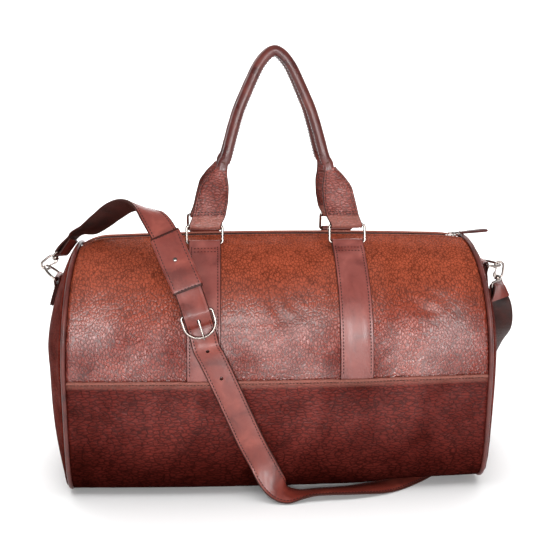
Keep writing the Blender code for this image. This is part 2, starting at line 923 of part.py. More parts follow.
def make_zip_slider():
    inner = TOOTH_HEIGHT / 2.0 + 3.0 * GAP
    outer = inner + SLIDER_PLATE
    web = SLIDER_WEB / 2.0
    obj = mesh_object(
        "zip_slider",
        plate_mesh(slider_outline(), inner, outer),
        "metal",
        slider_frame(),
        rounded=False,
    )
    add_boolean(obj, plate_mesh(slider_outline(), -outer, -inner), "UNION")
    low = (SLIDER_LENGTH / 2.0 - SLIDER_WEB_LENGTH - GAP, -web, -outer + SLIDER_PLATE / 2.0)
    high = (SLIDER_LENGTH / 2.0 - GAP, web, outer - SLIDER_PLATE / 2.0)
    add_boolean(obj, box_mesh(low, high), "UNION")
    half = BAIL_LENGTH / 2.0
    top = outer + BAIL_HEIGHT - BAIL_WIRE / 2.0
    foot = outer - SLIDER_PLATE * 0.6
    path = [(-half, 0.0, foot), (-half, 0.0, outer + BAIL_HEIGHT * 0.4)]
    path += [(-half * 0.62, 0.0, top), (half * 0.62, 0.0, top)]
    path += [(half, 0.0, outer + BAIL_HEIGHT * 0.4), (half, 0.0, foot)]
    add_boolean(obj, wire_mesh("bail", path, BAIL_WIRE / 2.0, False), "UNION")
    return obj


def pull_frame():
    """Axis of the pull under the bail's crossbar; +X runs along the pull."""
    outer = TOOTH_HEIGHT / 2.0 + 3.0 * GAP + SLIDER_PLATE
    drop = outer + BAIL_HEIGHT - BAIL_WIRE - GAP - LINK_WIRE / 2.0
    place = slider_frame() @ Matrix.Translation((BAIL_LENGTH * 0.5 * 0.35, 0.0, drop))
    return place @ Matrix.Rotation(math.radians(-PULL_RISE_DEG), 4, "Y")


def link_corner():
    return LINK_WIRE * 0.9


def link_reach():
    return LINK_LENGTH - LINK_WIRE


def make_zip_link():
    """Small loop in the pull's plane, one bar under the bail and the other in the pull."""
    half_length = link_reach() / 2.0
    path = []
    for x, y, z in rounded_rectangle(half_length, LINK_WIDTH / 2.0, link_corner()):
        path.append((x + half_length, z, 0.0))
    return wire_object("zip_link", path, LINK_WIRE / 2.0, True, "metal", pull_frame(), sides=8)


def pull_tab_frame():
    return pull_frame() @ Matrix.Translation((link_reach(), 0.0, 0.0))


def make_zip_pull():
    """Tapered tab whose root is a knuckle round the link's far bar."""
    knuckle = LINK_WIDTH / 2.0 - link_corner() - GAP
    clear = LINK_WIRE / 2.0 + 2.0 * GAP + LINK_WIRE * 0.3
    end = PULL_LENGTH
    outline = [
        (GAP, knuckle * 0.98),
        (clear, knuckle * 0.98),
        (clear + PULL_ROOT * 0.3, PULL_ROOT / 2.0),
        (end * 0.45, PULL_WIDTH * 0.40),
        (end - PULL_WIDTH * 0.35, PULL_WIDTH / 2.0),
        (end - PULL_WIDTH * 0.1, PULL_WIDTH * 0.42),
        (end, PULL_WIDTH * 0.24),
    ]
    outline += [(x, -y) for x, y in reversed(outline)]
    half = PULL_THICKNESS / 2.0
    frame = pull_tab_frame()
    body = plate_mesh(outline, -half, half)
    obj = mesh_object("zip_pull_tab", body, "strap_leather", frame, rounded=False)
    barrel = rod_mesh((0.0, -knuckle, 0.0), (0.0, knuckle, 0.0), PULL_KNUCKLE / 2.0, 12)
    add_boolean(obj, barrel, "UNION")
    reach = knuckle + CUT_OVERRUN
    bore = LINK_WIRE / 2.0 + BAR_PLAY * 0.8
    add_boolean(obj, rod_mesh((0.0, -reach, 0.0), (0.0, reach, 0.0), bore, 10), "DIFFERENCE")
    return obj


# Ribbons: leather straps lofted through stations of (place, across, outwards)


def ribbon_mesh(name, stations, thickness):
    """Stations hold a left edge, a right edge and the way out; the place is mid-thickness."""
    sections = []
    count = len(stations)
    for i, (left, right, out) in enumerate(stations):
        middle = (left + right) / 2.0
        ahead = stations[min(i + 1, count - 1)]
        behind = stations[max(i - 1, 0)]
        forward = (ahead[0] + ahead[1]) / 2.0 - middle
        back = middle - (behind[0] + behind[1]) / 2.0
        mitre = 1.0
        if 0 < i < count - 1 and forward.length > 0.0 and back.length > 0.0:
            turn = max(forward.normalized().dot(back.normalized()), 0.0)
            mitre = 1.0 / max(math.sqrt((1.0 + turn) / 2.0), 0.75)
        lift = out.normalized() * thickness / 2.0 * mitre
        sections.append([left - lift, right - lift, right + lift, left + lift])
    return loft_mesh(name, sections, pairs=(2,))


def turned_over(station):
    """The same place on a strap, facing the other way, as below a fold."""
    left, right, out = station
    return left, right, -out


def centred(place, across, out, width):
    half = across.normalized() * width / 2.0
    return place - half, place + half, out


def bar_fold(centre, along, across, out, inner, thickness, width, steps=6):
    """Half turn round a bar from the inner side to the outer; along points to the strap."""
    radius = inner + thickness / 2.0
    stations = []
    for i in range(steps + 1):
        angle = math.pi * i / steps
        way = -out * math.cos(angle) - along * math.sin(angle)
        stations.append(centred(centre + way * radius, across, way, width))
    return stations


# Straps on the body, rings and handles


def ring_foot(side):
    """Middle of a ring's lower bar, over the strap's mid-line, with the skin's directions."""
    s = length_at_depth(RING_FOOT_DEPTH_share * HALF_DEPTH)
    u = STRAP_OFFSET / half_length_at(HEIGHT)
    below = on_rows(u, s + GAP, 0.0, side)
    above = on_rows(u, s - GAP, 0.0, side)
    along = (below - above).normalized()
    out = Vector((0.0, -along.z * side, along.y * side))
    out = out if out.z > 0.0 else -out
    fold = RING_WIRE / 2.0 + BAR_PLAY + STRAP_THICKNESS
    height = fold - LEATHER
    return s, u, on_rows(u, s, 0.0, side) + out * height, along, out


def make_body_strap(name, side, hand):
    s_bar, u_mid, centre, along, out = ring_foot(side)
    across = Vector((hand, 0.0, 0.0))
    half = STRAP_WIDTH / 2.0 / half_length_at(HEIGHT)
    u_mid = hand * u_mid
    centre = Vector((hand * centre.x, centre.y, centre.z))
    low = -LEATHER + STRAP_THICKNESS / 2.0
    high = low + STRAP_THICKNESS + GAP
    fold = RING_WIRE / 2.0 + BAR_PLAY + STRAP_THICKNESS / 2.0
    top = low + 2.0 * fold

    def over(s, height):
        a = on_rows(u_mid - half, s, height, side)
        b = on_rows(u_mid + half, s, height, side)
        a, b = (a, b) if hand > 0.0 else (b, a)
        lean_s = min(s + GAP, S_SEAM)
        ahead = on_rows(u_mid, lean_s, height, side)
        behind = on_rows(u_mid, lean_s - 2.0 * GAP, height, side)
        way = (ahead - behind).normalized()
        normal = Vector((0.0, -way.z, way.y))
        return a, b, normal if normal.z * 1.0 + normal.y * side > 0.0 else -normal

    between_rows = [s for s in PANEL_ROWS if s_bar < s < S_SEAM - STRAP_RAMP]
    tail_end = s_bar + STRAP_FOLD
    tail = [s for s in between_rows if s_bar + GAP * 4.0 < s < tail_end - GAP * 4.0]
    stations = [turned_over(over(s, low)) for s in [tail_end] + tail[::-1]]
    turn = bar_fold(centre, along, across, out, fold - STRAP_THICKNESS / 2.0, STRAP_THICKNESS, STRAP_WIDTH)
    stations += turn
    drop = STRAP_FOLD * 0.45
    outer = sorted(tail + [s_bar + drop * 0.5, s_bar + drop, tail_end + GAP])
    for s in outer:
        t = smooth((s - s_bar) / drop)
        stations.append(over(s, between(top, high, t)))
    ramp_end = tail_end + STRAP_RAMP
    rest = [s for s in between_rows if s > ramp_end + GAP * 4.0]
    stations.append(over(ramp_end, low))
    stations += [over(s, low) for s in rest]
    stations.append(over(S_SEAM - GAP, low))
    return mesh_object(name, ribbon_mesh(name, stations, STRAP_THICKNESS), "strap_leather", rounded=False)


def ring_frame(side, hand):
    """Ring frame: origin on the lower bar, Z up the ring."""
    _, _, centre, _, _ = ring_foot(side)
    place = Matrix.Translation((hand * centre.x, centre.y, centre.z))
    return place @ Matrix.Rotation(side * math.radians(RING_LEAN_DEG), 4, "X")


def make_ring(name, side, hand):
    half_width = (RING_INNER_WIDTH + RING_WIRE) / 2.0
    path = []
    for x, y, z in rounded_rectangle(half_width, RING_BAR_SPACING / 2.0, RING_CORNER):
        path.append((x, y, z + RING_BAR_SPACING / 2.0))
    return wire_object(name, path, RING_WIRE / 2.0, True, "metal", ring_frame(side, hand))


def handle_frame(side):
    """Handle frame: origin on the upper bars' line, Z up the handle, -Y outwards at the front."""
    top = ring_frame(side, 1.0) @ Vector((0.0, 0.0, RING_BAR_SPACING))
    lean = Matrix.Rotation(side * math.radians(HANDLE_LEAN_DEG), 4, "X")
    return Matrix.Translation((0.0, top.y, top.z)) @ lean


def handle_path(hand=0.0):
    right = []
    for x, h in HANDLE_PATH_shares:
        right.append(Vector((x * STRAP_OFFSET, 0.0, h * HANDLE_RISE)))
    left = [Vector((-p.x, 0.0, p.z)) for p in reversed(right[:-1])]
    return right + left


def path_directions(path):
    ways = []
    for i in range(len(path)):
        a = path[max(i - 1, 0)]
        b = path[min(i + 1, len(path) - 1)]
        ways.append((b - a).normalized())
    return ways


def make_handle_roll(name, side):
    """Leather rolled into a tube, open along the stitched seam on its inner side."""
    outer = HANDLE_DIAMETER / 2.0
    inner = outer - HANDLE_LEATHER
    path = handle_path()
    sections = []
    for place, way in zip(path, path_directions(path)):
        y_axis = Vector((0.0, 1.0, 0.0))
        x_axis = way.cross(y_axis).normalized()
        ring = []
        for radius, order in ((outer, 1), (inner, -1)):
            half_slit = math.asin(HANDLE_SLIT / 2.0 / radius)
            arc = []
            for i in range(HANDLE_SIDES + 1):
                angle = half_slit + (2.0 * math.pi - 2.0 * half_slit) * i / HANDLE_SIDES
                arc.append(place + radius * (math.cos(angle) * x_axis + math.sin(angle) * y_axis))
            ring += arc if order > 0 else arc[::-1]
        sections.append(ring)
    return mesh_object(name, loft_mesh(name, sections), "strap_leather", handle_frame(side))


def make_handle_core(name, side):
    radius = HANDLE_DIAMETER / 2.0 - HANDLE_LEATHER - GAP
    radius = radius * math.cos(math.pi / HANDLE_SIDES) - GAP / 2.0
    path = handle_path()
    ways = path_directions(path)
    path[0] = path[0] + ways[0] * GAP
    path[-1] = path[-1] - ways[-1] * GAP
    return wire_object(name, path, radius, False, "fabric", handle_frame(side), sides=6)


def tab_line(h):
    """Centre and width of a handle tab at a height over the ring's bar."""
    keys = [row[1] * HANDLE_RISE for row in TAB_shares]
    x = look_up(keys, [row[0] * STRAP_OFFSET for row in TAB_shares], h)
    width = look_up(keys, [row[2] * TAB_WIDTH for row in TAB_shares], h)
    return x, width


def make_handle_tab(name, side, hand):
    inner = RING_WIRE / 2.0 + BAR_PLAY
    apart = inner + TAB_THICKNESS / 2.0
    together = (TAB_THICKNESS + GAP) / 2.0
    closing = TAB_WIDTH * 0.36
    face = Vector((0.0, side, 0.0))
    across = Vector((hand, 0.0, 0.0))
    heights = [row[1] * HANDLE_RISE for row in TAB_shares]
    heights = sorted(set(heights[1:] + [closing * 0.5, closing]))

    def layer(h, sign):
        x, width = tab_line(max(h, 0.0))
        reach = between(apart, together, smooth(h / closing))
        place = Vector((hand * x, 0.0, h)) + face * sign * reach
        return centred(place, across, face * sign, width)

    back_top = TAB_BACK_share * HANDLE_RISE
    back = [h for h in heights if h < back_top - GAP] + [back_top]
    stations = [layer(h, -1.0) for h in reversed(back)]
    x, width = tab_line(0.0)
    centre = Vector((hand * x, 0.0, 0.0))
    up = Vector((0.0, 0.0, 1.0))
    stations += bar_fold(centre, up, across, face, inner, TAB_THICKNESS, width)
    stations += [layer(h, 1.0) for h in heights]
    mesh = ribbon_mesh(name, stations, TAB_THICKNESS)
    return mesh_object(name, mesh, "strap_leather", handle_frame(side), rounded=False)


# D-rings and their tabs on the end panels


def end_surface(end, z):
    """Point on the end panel's middle line, found from the height it settles to."""
    centre = HEIGHT * END_CENTRE_share
    plain = z
    for _ in range(6):
        plain += z - (plain - drop_at(end, plain))
    share = min(abs(plain - centre) / (HEIGHT - PIPING_SINK - LEATHER - centre), 1.0)
    return dome_point(end, 0.0, plain, share, end_panel_start(), END_DOME)


def end_directions(end, z):
    a = end_surface(end, z + GAP)
    b = end_surface(end, z - GAP)
    down = (b - a).normalized()
    out = Vector((-down.z, 0.0, down.x))
    return down, out if out.x * end > 0.0 else -out


def d_bar(end):
    z = D_HEIGHTS[0] if end < 0.0 else D_HEIGHTS[1]
    down, out = end_directions(end, z)
    height = D_WIRE / 2.0 + BAR_PLAY + D_TAB_THICKNESS + GAP
    height += D_STANDOFFS[0] if end < 0.0 else D_STANDOFFS[1]
    return z, end_surface(end, z) + out * height, down, out


def d_frame(end):
    """D-ring frame: origin on the bar, X away from the bag along the ring, Y along the bar."""
    _, bar, _, _ = d_bar(end)
    rise = math.radians(D_RISES_DEG[0] if end < 0.0 else D_RISES_DEG[1])
    way = Vector((end * math.cos(rise), 0.0, math.sin(rise)))
    up = way.cross(Vector((0.0, 1.0, 0.0)))
    axes = Matrix((way, (0.0, 1.0, 0.0), up)).transposed().to_4x4()
    return Matrix.Translation(bar) @ axes


def make_d_ring(name, end):
    half = (D_INNER_WIDTH + D_WIRE) / 2.0
    corner = D_WIRE * 0.9
    path = []
    for i in range(4):
        angle = math.radians(180 + 30 * i)
        path.append((corner + corner * math.cos(angle), -half + corner + corner * math.sin(angle), 0.0))
    steps = 10
    straight = D_REACH - half
    for i in range(steps + 1):
        angle = -math.pi / 2.0 + math.pi * i / steps
        path.append((straight + half * math.cos(angle), half * math.sin(angle), 0.0))
    for i in range(4):
        angle = math.radians(90 + 30 * i)
        path.append((corner + corner * math.cos(angle), half - corner + corner * math.sin(angle), 0.0))
    return wire_object(name, path, D_WIRE / 2.0, True, "metal", d_frame(end))


def make_d_tab(name, end):
    z_bar, bar, down, out = d_bar(end)
    across = Vector((0.0, end, 0.0))
    inner = D_WIRE / 2.0 + BAR_PLAY
    thickness = D_TAB_THICKNESS
    under = GAP + thickness / 2.0
    over = under + thickness + GAP
    top = under + 2.0 * inner + thickness
    count = 5
    heights = [z_bar - D_TAB_LENGTH * i / count for i in range(1, count + 1)]

    standoff = D_STANDOFFS[0] if end < 0.0 else D_STANDOFFS[1]

    def layer(z, height):
        _, way = end_directions(end, z)
        height += standoff * (1.0 - smooth((z_bar - z) / D_TAB_LENGTH))
        return centred(end_surface(end, z) + way * height, across, way, D_TAB_WIDTH)

    stations = [turned_over(layer(z, under)) for z in reversed(heights)]
    stations += bar_fold(bar, down, across, out, inner, thickness, D_TAB_WIDTH)
    for i, z in enumerate(heights):
        stations.append(layer(z, over if i > 0 else between(top, over, 0.75)))
    mesh = ribbon_mesh(name, stations, thickness)
    return mesh_object(name, mesh, "strap_leather", rounded=False)


# Snap hooks: local Z runs from the D-ring's wire to the strap's bar, X across the jaw


def hook_frame(end):
    tip = d_frame(end) @ Vector((D_REACH, 0.0, 0.0))
    angle = math.radians(HOOK_AXES_DEG[0] if end < 0.0 else HOOK_AXES_DEG[1])
    z_axis = Vector((math.cos(angle), 0.0, math.sin(angle)))
    y_axis = Vector((0.0, 1.0, 0.0))
    x_axis = y_axis.cross(z_axis)
    axes = Matrix((x_axis, y_axis, z_axis)).transposed().to_4x4()
    return Matrix.Translation(tip) @ axes


def eye_frame(end):
    """Frame of the swivelling eye: origin on the strap's bar, X along that bar."""
    turn = math.radians(HOOK_TURNS_DEG[0] if end < 0.0 else HOOK_TURNS_DEG[1])
    place = hook_frame(end) @ Matrix.Translation((0.0, 0.0, HOOK_REACH))
    return place @ Matrix.Rotation(turn, 4, "Z")


def bow_centre():
    return (HOOK_BOW_WIDTH - HOOK_WIRE) / 2.0 - D_WIRE / 2.0 - GAP


def make_hook_body(name, end):
    radius = HOOK_BOW_WIDTH / 2.0
    low = bow_centre()
    wire = HOOK_WIRE / 2.0
    collar_low = HOOK_COLLAR_START_share * HOOK_REACH
    collar_high = collar_low + HOOK_COLLAR_LENGTH
    path = [(radius, 0.0, low + HOOK_NOSE)]
    for i in range(9):
        angle = -math.pi * i / 8
        path.append((radius * math.cos(angle), 0.0, low + radius * math.sin(angle)))
    path.append((-radius, 0.0, between(low, collar_low, 0.72)))
    path.append((-radius * 0.84, 0.0, between(low, collar_low, 0.96)))
    path.append((-radius * 0.55, 0.0, between(collar_low, collar_high, 0.40)))
    body = rod_mesh((0.0, 0.0, collar_low), (0.0, 0.0, collar_high), HOOK_COLLAR_DIAMETER / 2.0, 16)
    obj = mesh_object(name, body, "metal", hook_frame(end), rounded=False)
    add_boolean(obj, wire_mesh(name + "_bow", path, wire, False), "UNION")
    pin_x = GATE_PLACE_shares[0] * HOOK_REACH
    pin_z = GATE_PLACE_shares[1] * HOOK_REACH
    inner = GATE_BARREL_LENGTH / 2.0 + GATE_PLAY
    outer = inner + CHEEK
    foot = CHEEK_FOOT_share * HOOK_REACH
    start = CHEEK_START_share * HOOK_REACH
    far = pin_x + GATE_BARREL_DIAMETER / 2.0
    head = between(collar_low, collar_high, 0.45)
    for sign in (-1.0, 1.0):
        low_y = min(sign * inner, sign * outer)
        high_y = max(sign * inner, sign * outer)
        cheek = box_mesh((start, low_y, foot), (far, high_y, head))
        add_boolean(obj, cheek, "UNION")
    reach = between(inner, outer, 0.6)
    pin = rod_mesh((pin_x, -reach, pin_z), (pin_x, reach, pin_z), GATE_PIN_DIAMETER / 2.0, 8)
    add_boolean(obj, pin, "UNION")
    bore = POST_DIAMETER / 2.0 + POST_PLAY
    low_z = collar_low - CUT_OVERRUN
    high_z = collar_high + CUT_OVERRUN
    add_boolean(obj, rod_mesh((0.0, 0.0, low_z), (0.0, 0.0, high_z), bore, 16), "DIFFERENCE")
    return obj


def gate_frame(end):
    pin_x = GATE_PLACE_shares[0] * HOOK_REACH
    pin_z = GATE_PLACE_shares[1] * HOOK_REACH
    return hook_frame(end) @ Matrix.Translation((pin_x, 0.0, pin_z))


def make_hook_gate(name, end):
    pin_x = GATE_PLACE_shares[0] * HOOK_REACH
    pin_z = GATE_PLACE_shares[1] * HOOK_REACH
    half = GATE_BARREL_LENGTH / 2.0
    barrel = rod_mesh((0.0, -half, 0.0), (0.0, half, 0.0), GATE_BARREL_DIAMETER / 2.0, 12)
    obj = mesh_object(name, barrel, "metal", gate_frame(end), rounded=False)
    tip_x = GATE_TIP_shares[0] * HOOK_REACH - pin_x
    tip_z = GATE_TIP_shares[1] * HOOK_REACH - pin_z
    start = Vector((tip_x, 0.0, tip_z)).normalized() * GATE_BARREL_DIAMETER * 0.38
    rod = rod_mesh(start, (tip_x, 0.0, tip_z), GATE_WIRE / 2.0, 8)
    add_boolean(obj, rod, "UNION")
    bore = GATE_PIN_DIAMETER / 2.0 + GATE_PLAY
    reach = half + CUT_OVERRUN
    add_boolean(obj, rod_mesh((0.0, -reach, 0.0), (0.0, reach, 0.0), bore, 8), "DIFFERENCE")
    return obj


def make_hook_eye(name, end):
    half_width = (EYE_INNER_WIDTH + EYE_WIRE) / 2.0
    path = []
    for x, y, z in rounded_rectangle(half_width, EYE_HEIGHT / 2.0, EYE_CORNER):
        path.append((x, y, z - EYE_HEIGHT / 2.0))
    loop = wire_mesh(name + "_loop", path, EYE_WIRE / 2.0, True)
    obj = mesh_object(name, loop, "metal", eye_frame(end), rounded=False)
    collar_low = HOOK_COLLAR_START_share * HOOK_REACH - HOOK_REACH
    head_top = collar_low - GAP
    head_low = head_top - POST_HEAD_LENGTH
    post_low = between(head_low, head_top, 0.5)
    post = rod_mesh((0.0, 0.0, post_low), (0.0, 0.0, -EYE_HEIGHT), POST_DIAMETER / 2.0, 12)
    add_boolean(obj, post, "UNION")
    head = rod_mesh((0.0, 0.0, head_low), (0.0, 0.0, head_top), POST_HEAD_DIAMETER / 2.0, 12)
    add_boolean(obj, head, "UNION")
    return obj


# Shoulder strap


def placed(share):
    return Vector((share[0] * HALF_LENGTH, share[1] * HALF_DEPTH, share[2] * HEIGHT))


def front_skin(x, z):
    """Depth of the true skin at this place on the front, found by halving."""
    u = x / half_length_at(z)
    swell = max(1.0 - u * u, 0.0)
    z = z - TOP_ARCH * swell * (z / HEIGHT) ** 2
    s = length_at_height(z)
    return section_point(s)[0] * (1.0 + BELLY_SWELL_share * swell)


def buckle_frame():
    """Buckle frame: origin on the bar, X across, Y down the strap, Z away from the bag."""
    down = Vector(BUCKLE_DOWN_share).normalized()
    across = Vector(BUCKLE_ACROSS_share)
    across = (across - down * across.dot(down)).normalized()
    out = down.cross(across)
    axes = Matrix((-across, down, out)).transposed().to_4x4()
    return Matrix.Translation(placed(BUCKLE_BAR_shares)) @ axes


def buckle_across():
    return -buckle_frame().col[0].to_3d()


def curve_through(places, steps):
    """Catmull-Rom curve through (place, across) pairs."""
    result = []
    count = len(places)
    for i in range(count - 1):
        p0 = places[max(i - 1, 0)]
        p1 = places[i]
        p2 = places[i + 1]
        p3 = places[min(i + 2, count - 1)]
        for k in range(steps):
            t = k / steps
            mixed = []
            for a, b, c, d in zip(p0, p1, p2, p3):
                span_in = max((p1[0] - p0[0]).length, GAP)
                span = (p2[0] - p1[0]).length
                span_out = max((p3[0] - p2[0]).length, GAP)
                m1 = (c - a) * span / (span + span_in)
                m2 = (d - b) * span / (span + span_out)
                h00 = 2 * t**3 - 3 * t**2 + 1
                h10 = t**3 - 2 * t**2 + t
                h01 = -2 * t**3 + 3 * t**2
                h11 = t**3 - t**2
                mixed.append(b * h00 + m1 * h10 + c * h01 + m2 * h11)
            result.append(tuple(mixed))
    result.append(places[-1])
    return result


def framed(curve):
    """(place, along, across, out) at each point of a curve of (place, across)."""
    frames = []
    for i, (place, across) in enumerate(curve):
        a = curve[max(i - 1, 0)][0]
        b = curve[min(i + 1, len(curve) - 1)][0]
        along = (b - a).normalized()
        across = (across - along * across.dot(along)).normalized()
        frames.append((place, along, across, along.cross(across)))
    return frames


def run_lengths(frames):
    lengths = [0.0]
    for a, b in zip(frames, frames[1:]):
        lengths.append(lengths[-1] + (b[0] - a[0]).length)
    return lengths


def fold_radius(bar_wire):
    return bar_wire / 2.0 + BAR_PLAY


def end_fold(bar, frames, bar_wire, at_start):
    """Stations of a strap end folded round a bar, given as its place and its direction.

    They run from the tail round the bar to the main layer, which blends into the strap.
    """
    bar, bar_way = bar
    inner = fold_radius(bar_wire)
    reach = inner + SHOULDER_THICKNESS / 2.0
    ordered = frames if at_start else frames[::-1]
    lengths = run_lengths(ordered)
    sign = 1.0 if at_start else -1.0
    across = bar_way if bar_way.dot(ordered[0][2]) > 0.0 else -bar_way
    along = ordered[0][1]
    along = (along - across * along.dot(across)).normalized()
    out = along.cross(across)
    away = along * sign
    main = []
    tail = []
    for (spot, way, side, face), length in zip(ordered, lengths):
        t = smooth(length / FOLD_BLEND)
        main.append(centred(spot + face * between(reach, 0.0, t), side, face, SHOULDER_WIDTH))
        if length <= SHOULDER_FOLD:
            depth = between(reach, SHOULDER_THICKNESS + GAP, t)
            tail.append(centred(spot - face * depth, side, -face, SHOULDER_WIDTH))
    turn = bar_fold(bar, away, across, out, inner, SHOULDER_THICKNESS, SHOULDER_WIDTH)
    stations = tail[:0:-1] + turn + main[1:]
    return stations if at_start else stations[::-1]


def eye_bar(end):
    frame = eye_frame(end)
    return frame.translation.copy(), frame.col[0].to_3d().normalized()


def short_frames():
    """Mid-line of the short part, from the left hook's bar to the buckle's bar."""
    bar, across = eye_bar(-1.0)
    stations = [placed(row[:3]) for row in SHORT_STATIONS_shares]
    ways = [Vector(row[3:]) for row in SHORT_STATIONS_shares]
    if across.dot(ways[0]) < 0.0:
        across = -across
    places = [(bar, across)] + list(zip(stations, ways))
    frame = buckle_frame()
    places.append((frame.translation.copy(), buckle_across()))
    return framed(curve_through(places, CURVE_STEPS))


def join_folds(frames, first_bar, first_wire, last_bar, last_wire):
    """Ribbon stations with a fold at each given end."""
    half = len(frames) // 2
    if first_bar is None:
        head = [centred(p, side, face, SHOULDER_WIDTH) for p, _, side, face in frames[:half]]
    else:
        head = end_fold(first_bar, frames[:half], first_wire, True)
    if last_bar is None:
        foot = [centred(p, side, face, SHOULDER_WIDTH) for p, _, side, face in frames[half:]]
    else:
        foot = end_fold(last_bar, frames[half:], last_wire, False)
    return head + foot


def make_short_strap():
    frames = short_frames()
    bar = (buckle_frame().translation.copy(), buckle_across())
    stations = join_folds(frames, eye_bar(-1.0), EYE_WIRE, bar, BUCKLE_WIRE)
    mesh = ribbon_mesh("strap_short_part", stations, SHOULDER_THICKNESS)
    obj = mesh_object("strap_short_part", mesh, "strap_leather", rounded=False)
    half = PRONG_BARREL_LENGTH / 2.0 + SLOT_PLAY
    depth = fold_radius(BUCKLE_WIRE) + SHOULDER_THICKNESS + CUT_OVERRUN
    low = (-half, -depth * 0.80, -depth * 0.56)
    high = (half, depth, depth)
    slot = box_mesh(low, high)
    slot.transform(buckle_frame())
    add_boolean(obj, facing_out(slot), "DIFFERENCE")
    return obj


def front_stations():
    stations = []
    lift = SHOULDER_THICKNESS / 2.0 + SHOULDER_CLEAR
    for share_x, share_z in FRONT_STATIONS_shares:
        x = share_x * HALF_LENGTH
        z = share_z * HEIGHT
        step = HALF_DEPTH * 0.02
        slope = (front_skin(x, z + step) - front_skin(x, z - step)) / (2.0 * step)
        out = Vector((0.0, -1.0, -slope)).normalized()
        stations.append((Vector((x, -front_skin(x, z), z)) + out * lift, out))
    placed_rows = []
    for i, (place, out) in enumerate(stations):
        a = stations[max(i - 1, 0)][0]
        b = stations[min(i + 1, len(stations) - 1)][0]
        placed_rows.append((place, out.cross(b - a).normalized()))
    return placed_rows


def over_buckle_stations():
    """The long part's tail over the fold, then down through the frame and under its end."""
    frame = buckle_frame()
    across = buckle_across()
    bar = BUCKLE_WIRE / 2.0
    fold_top = bar + BAR_PLAY + SHOULDER_THICKNESS
    over = fold_top + SHOULDER_CLEAR + SHOULDER_THICKNESS / 2.0
    under = -(bar + SHOULDER_CLEAR + SHOULDER_THICKNESS / 2.0)
    rows = (
        (0.00, over),
        (0.14, over - SHOULDER_THICKNESS * 0.25),
        (0.31, between(over, under, 0.40)),
        (0.45, between(over, under, 0.74)),
        (0.59, under - SHOULDER_CLEAR),
        (0.95, under - SHOULDER_CLEAR),
    )
    return [(frame @ Vector((0.0, y * BUCKLE_LENGTH, z)), across) for y, z in rows]


def tail_rows():
    """The long part's tail inside the sleeve, lying on the short part."""
    frames = short_frames()
    lengths = run_lengths(frames)
    end = lengths[-1] - SLEEVE_FOOT
    far = end - TAIL_END_share * SLEEVE_LENGTH
    stack = SHOULDER_THICKNESS + SLEEVE_PLAY
    rows = []
    count = 5
    for i in range(count + 1):
        at = between(far, end + SLEEVE_FOOT * 0.35, i / count)
        place, along, across, out = frame_at(frames, lengths, at)
        lift = stack + (SHOULDER_CLEAR if i == count else 0.0)
        rows.append((place + out * lift, across))
    return rows


def frame_at(frames, lengths, length):
    for i in range(1, len(frames)):
        if length <= lengths[i]:
            t = (length - lengths[i - 1]) / (lengths[i] - lengths[i - 1])
            mixed = [a.lerp(b, t) for a, b in zip(frames[i - 1], frames[i])]
            return mixed[0], mixed[1].normalized(), mixed[2].normalized(), mixed[3].normalized()
    return frames[-1]


def long_frames():
    bar, across = eye_bar(1.0)
    places = tail_rows() + over_buckle_stations()
    row = BELOW_BUCKLE_shares
    places.append((placed(row[:3]), Vector(row[3:]).normalized()))
    places += front_stations()
    for row in FLOOR_STATIONS_shares:
        places.append((placed(row[:3]), Vector(row[3:]).normalized()))
    if across.dot(places[-1][1]) < 0.0:
        across = -across
    places.append((bar, across))
    return framed(curve_through(places, CURVE_STEPS))


def prong_line():
    """Ends of the prong's shank in the buckle frame, as Y and Z."""
    rest = BUCKLE_WIRE / 2.0 + PRONG_PLAY + PRONG_WIRE / 2.0
    return Vector((0.0, PRONG_WIRE * 0.15, rest)), Vector((0.0, BUCKLE_LENGTH + BUCKLE_WIRE * 0.7, rest))


def make_long_strap():
    frames = long_frames()
    stations = join_folds(frames, None, 0.0, eye_bar(1.0), EYE_WIRE)
    mesh = ribbon_mesh("strap_long_part", stations, SHOULDER_THICKNESS)
    obj = mesh_object("strap_long_part", mesh, "strap_leather", rounded=False)
    start, end = prong_line()
    hole = rod_mesh(start, end * 1.25, PRONG_WIRE / 2.0 + HOLE_PLAY, 10)
    hole.transform(buckle_frame())
    add_boolean(obj, facing_out(hole), "DIFFERENCE")
    lengths = run_lengths(frames)
    down = buckle_frame() @ Vector((0.0, BUCKLE_LENGTH * 0.3, 0.0))
    nearest = min(range(len(frames)), key=lambda i: (frames[i][0] - down).length)
    for i in range(1, HOLE_COUNT + 1):
        place, _, _, out = frame_at(frames, lengths, lengths[nearest] + i * HOLE_SPACING)
        reach = out * (SHOULDER_THICKNESS / 2.0 + CUT_OVERRUN)
        punch = rod_mesh(place - reach, place + reach, HOLE_DIAMETER / 2.0, 12)
        add_boolean(obj, punch, "DIFFERENCE")
    return obj


def make_buckle_frame():
    half = (BUCKLE_INNER_WIDTH + BUCKLE_WIRE) / 2.0
    side = BUCKLE_SIDE_share * BUCKLE_LENGTH
    corner = BUCKLE_WIRE * 0.8
    path = []
    for i in range(4):
        angle = math.radians(270 - 30 * i)
        path.append((-half + corner + corner * math.cos(angle), corner + corner * math.sin(angle), 0.0))
    steps = 10
    for i in range(steps + 1):
        angle = math.pi - math.pi * i / steps
        x = half * math.cos(angle)
        path.append((x, side + (BUCKLE_LENGTH - side) * math.sin(angle), 0.0))
    for i in range(4):
        angle = math.radians(0 - 30 * i)
        path.append((half - corner + corner * math.cos(angle), corner + corner * math.sin(angle), 0.0))
    return wire_object("buckle_frame", path, BUCKLE_WIRE / 2.0, True, "metal", buckle_frame())


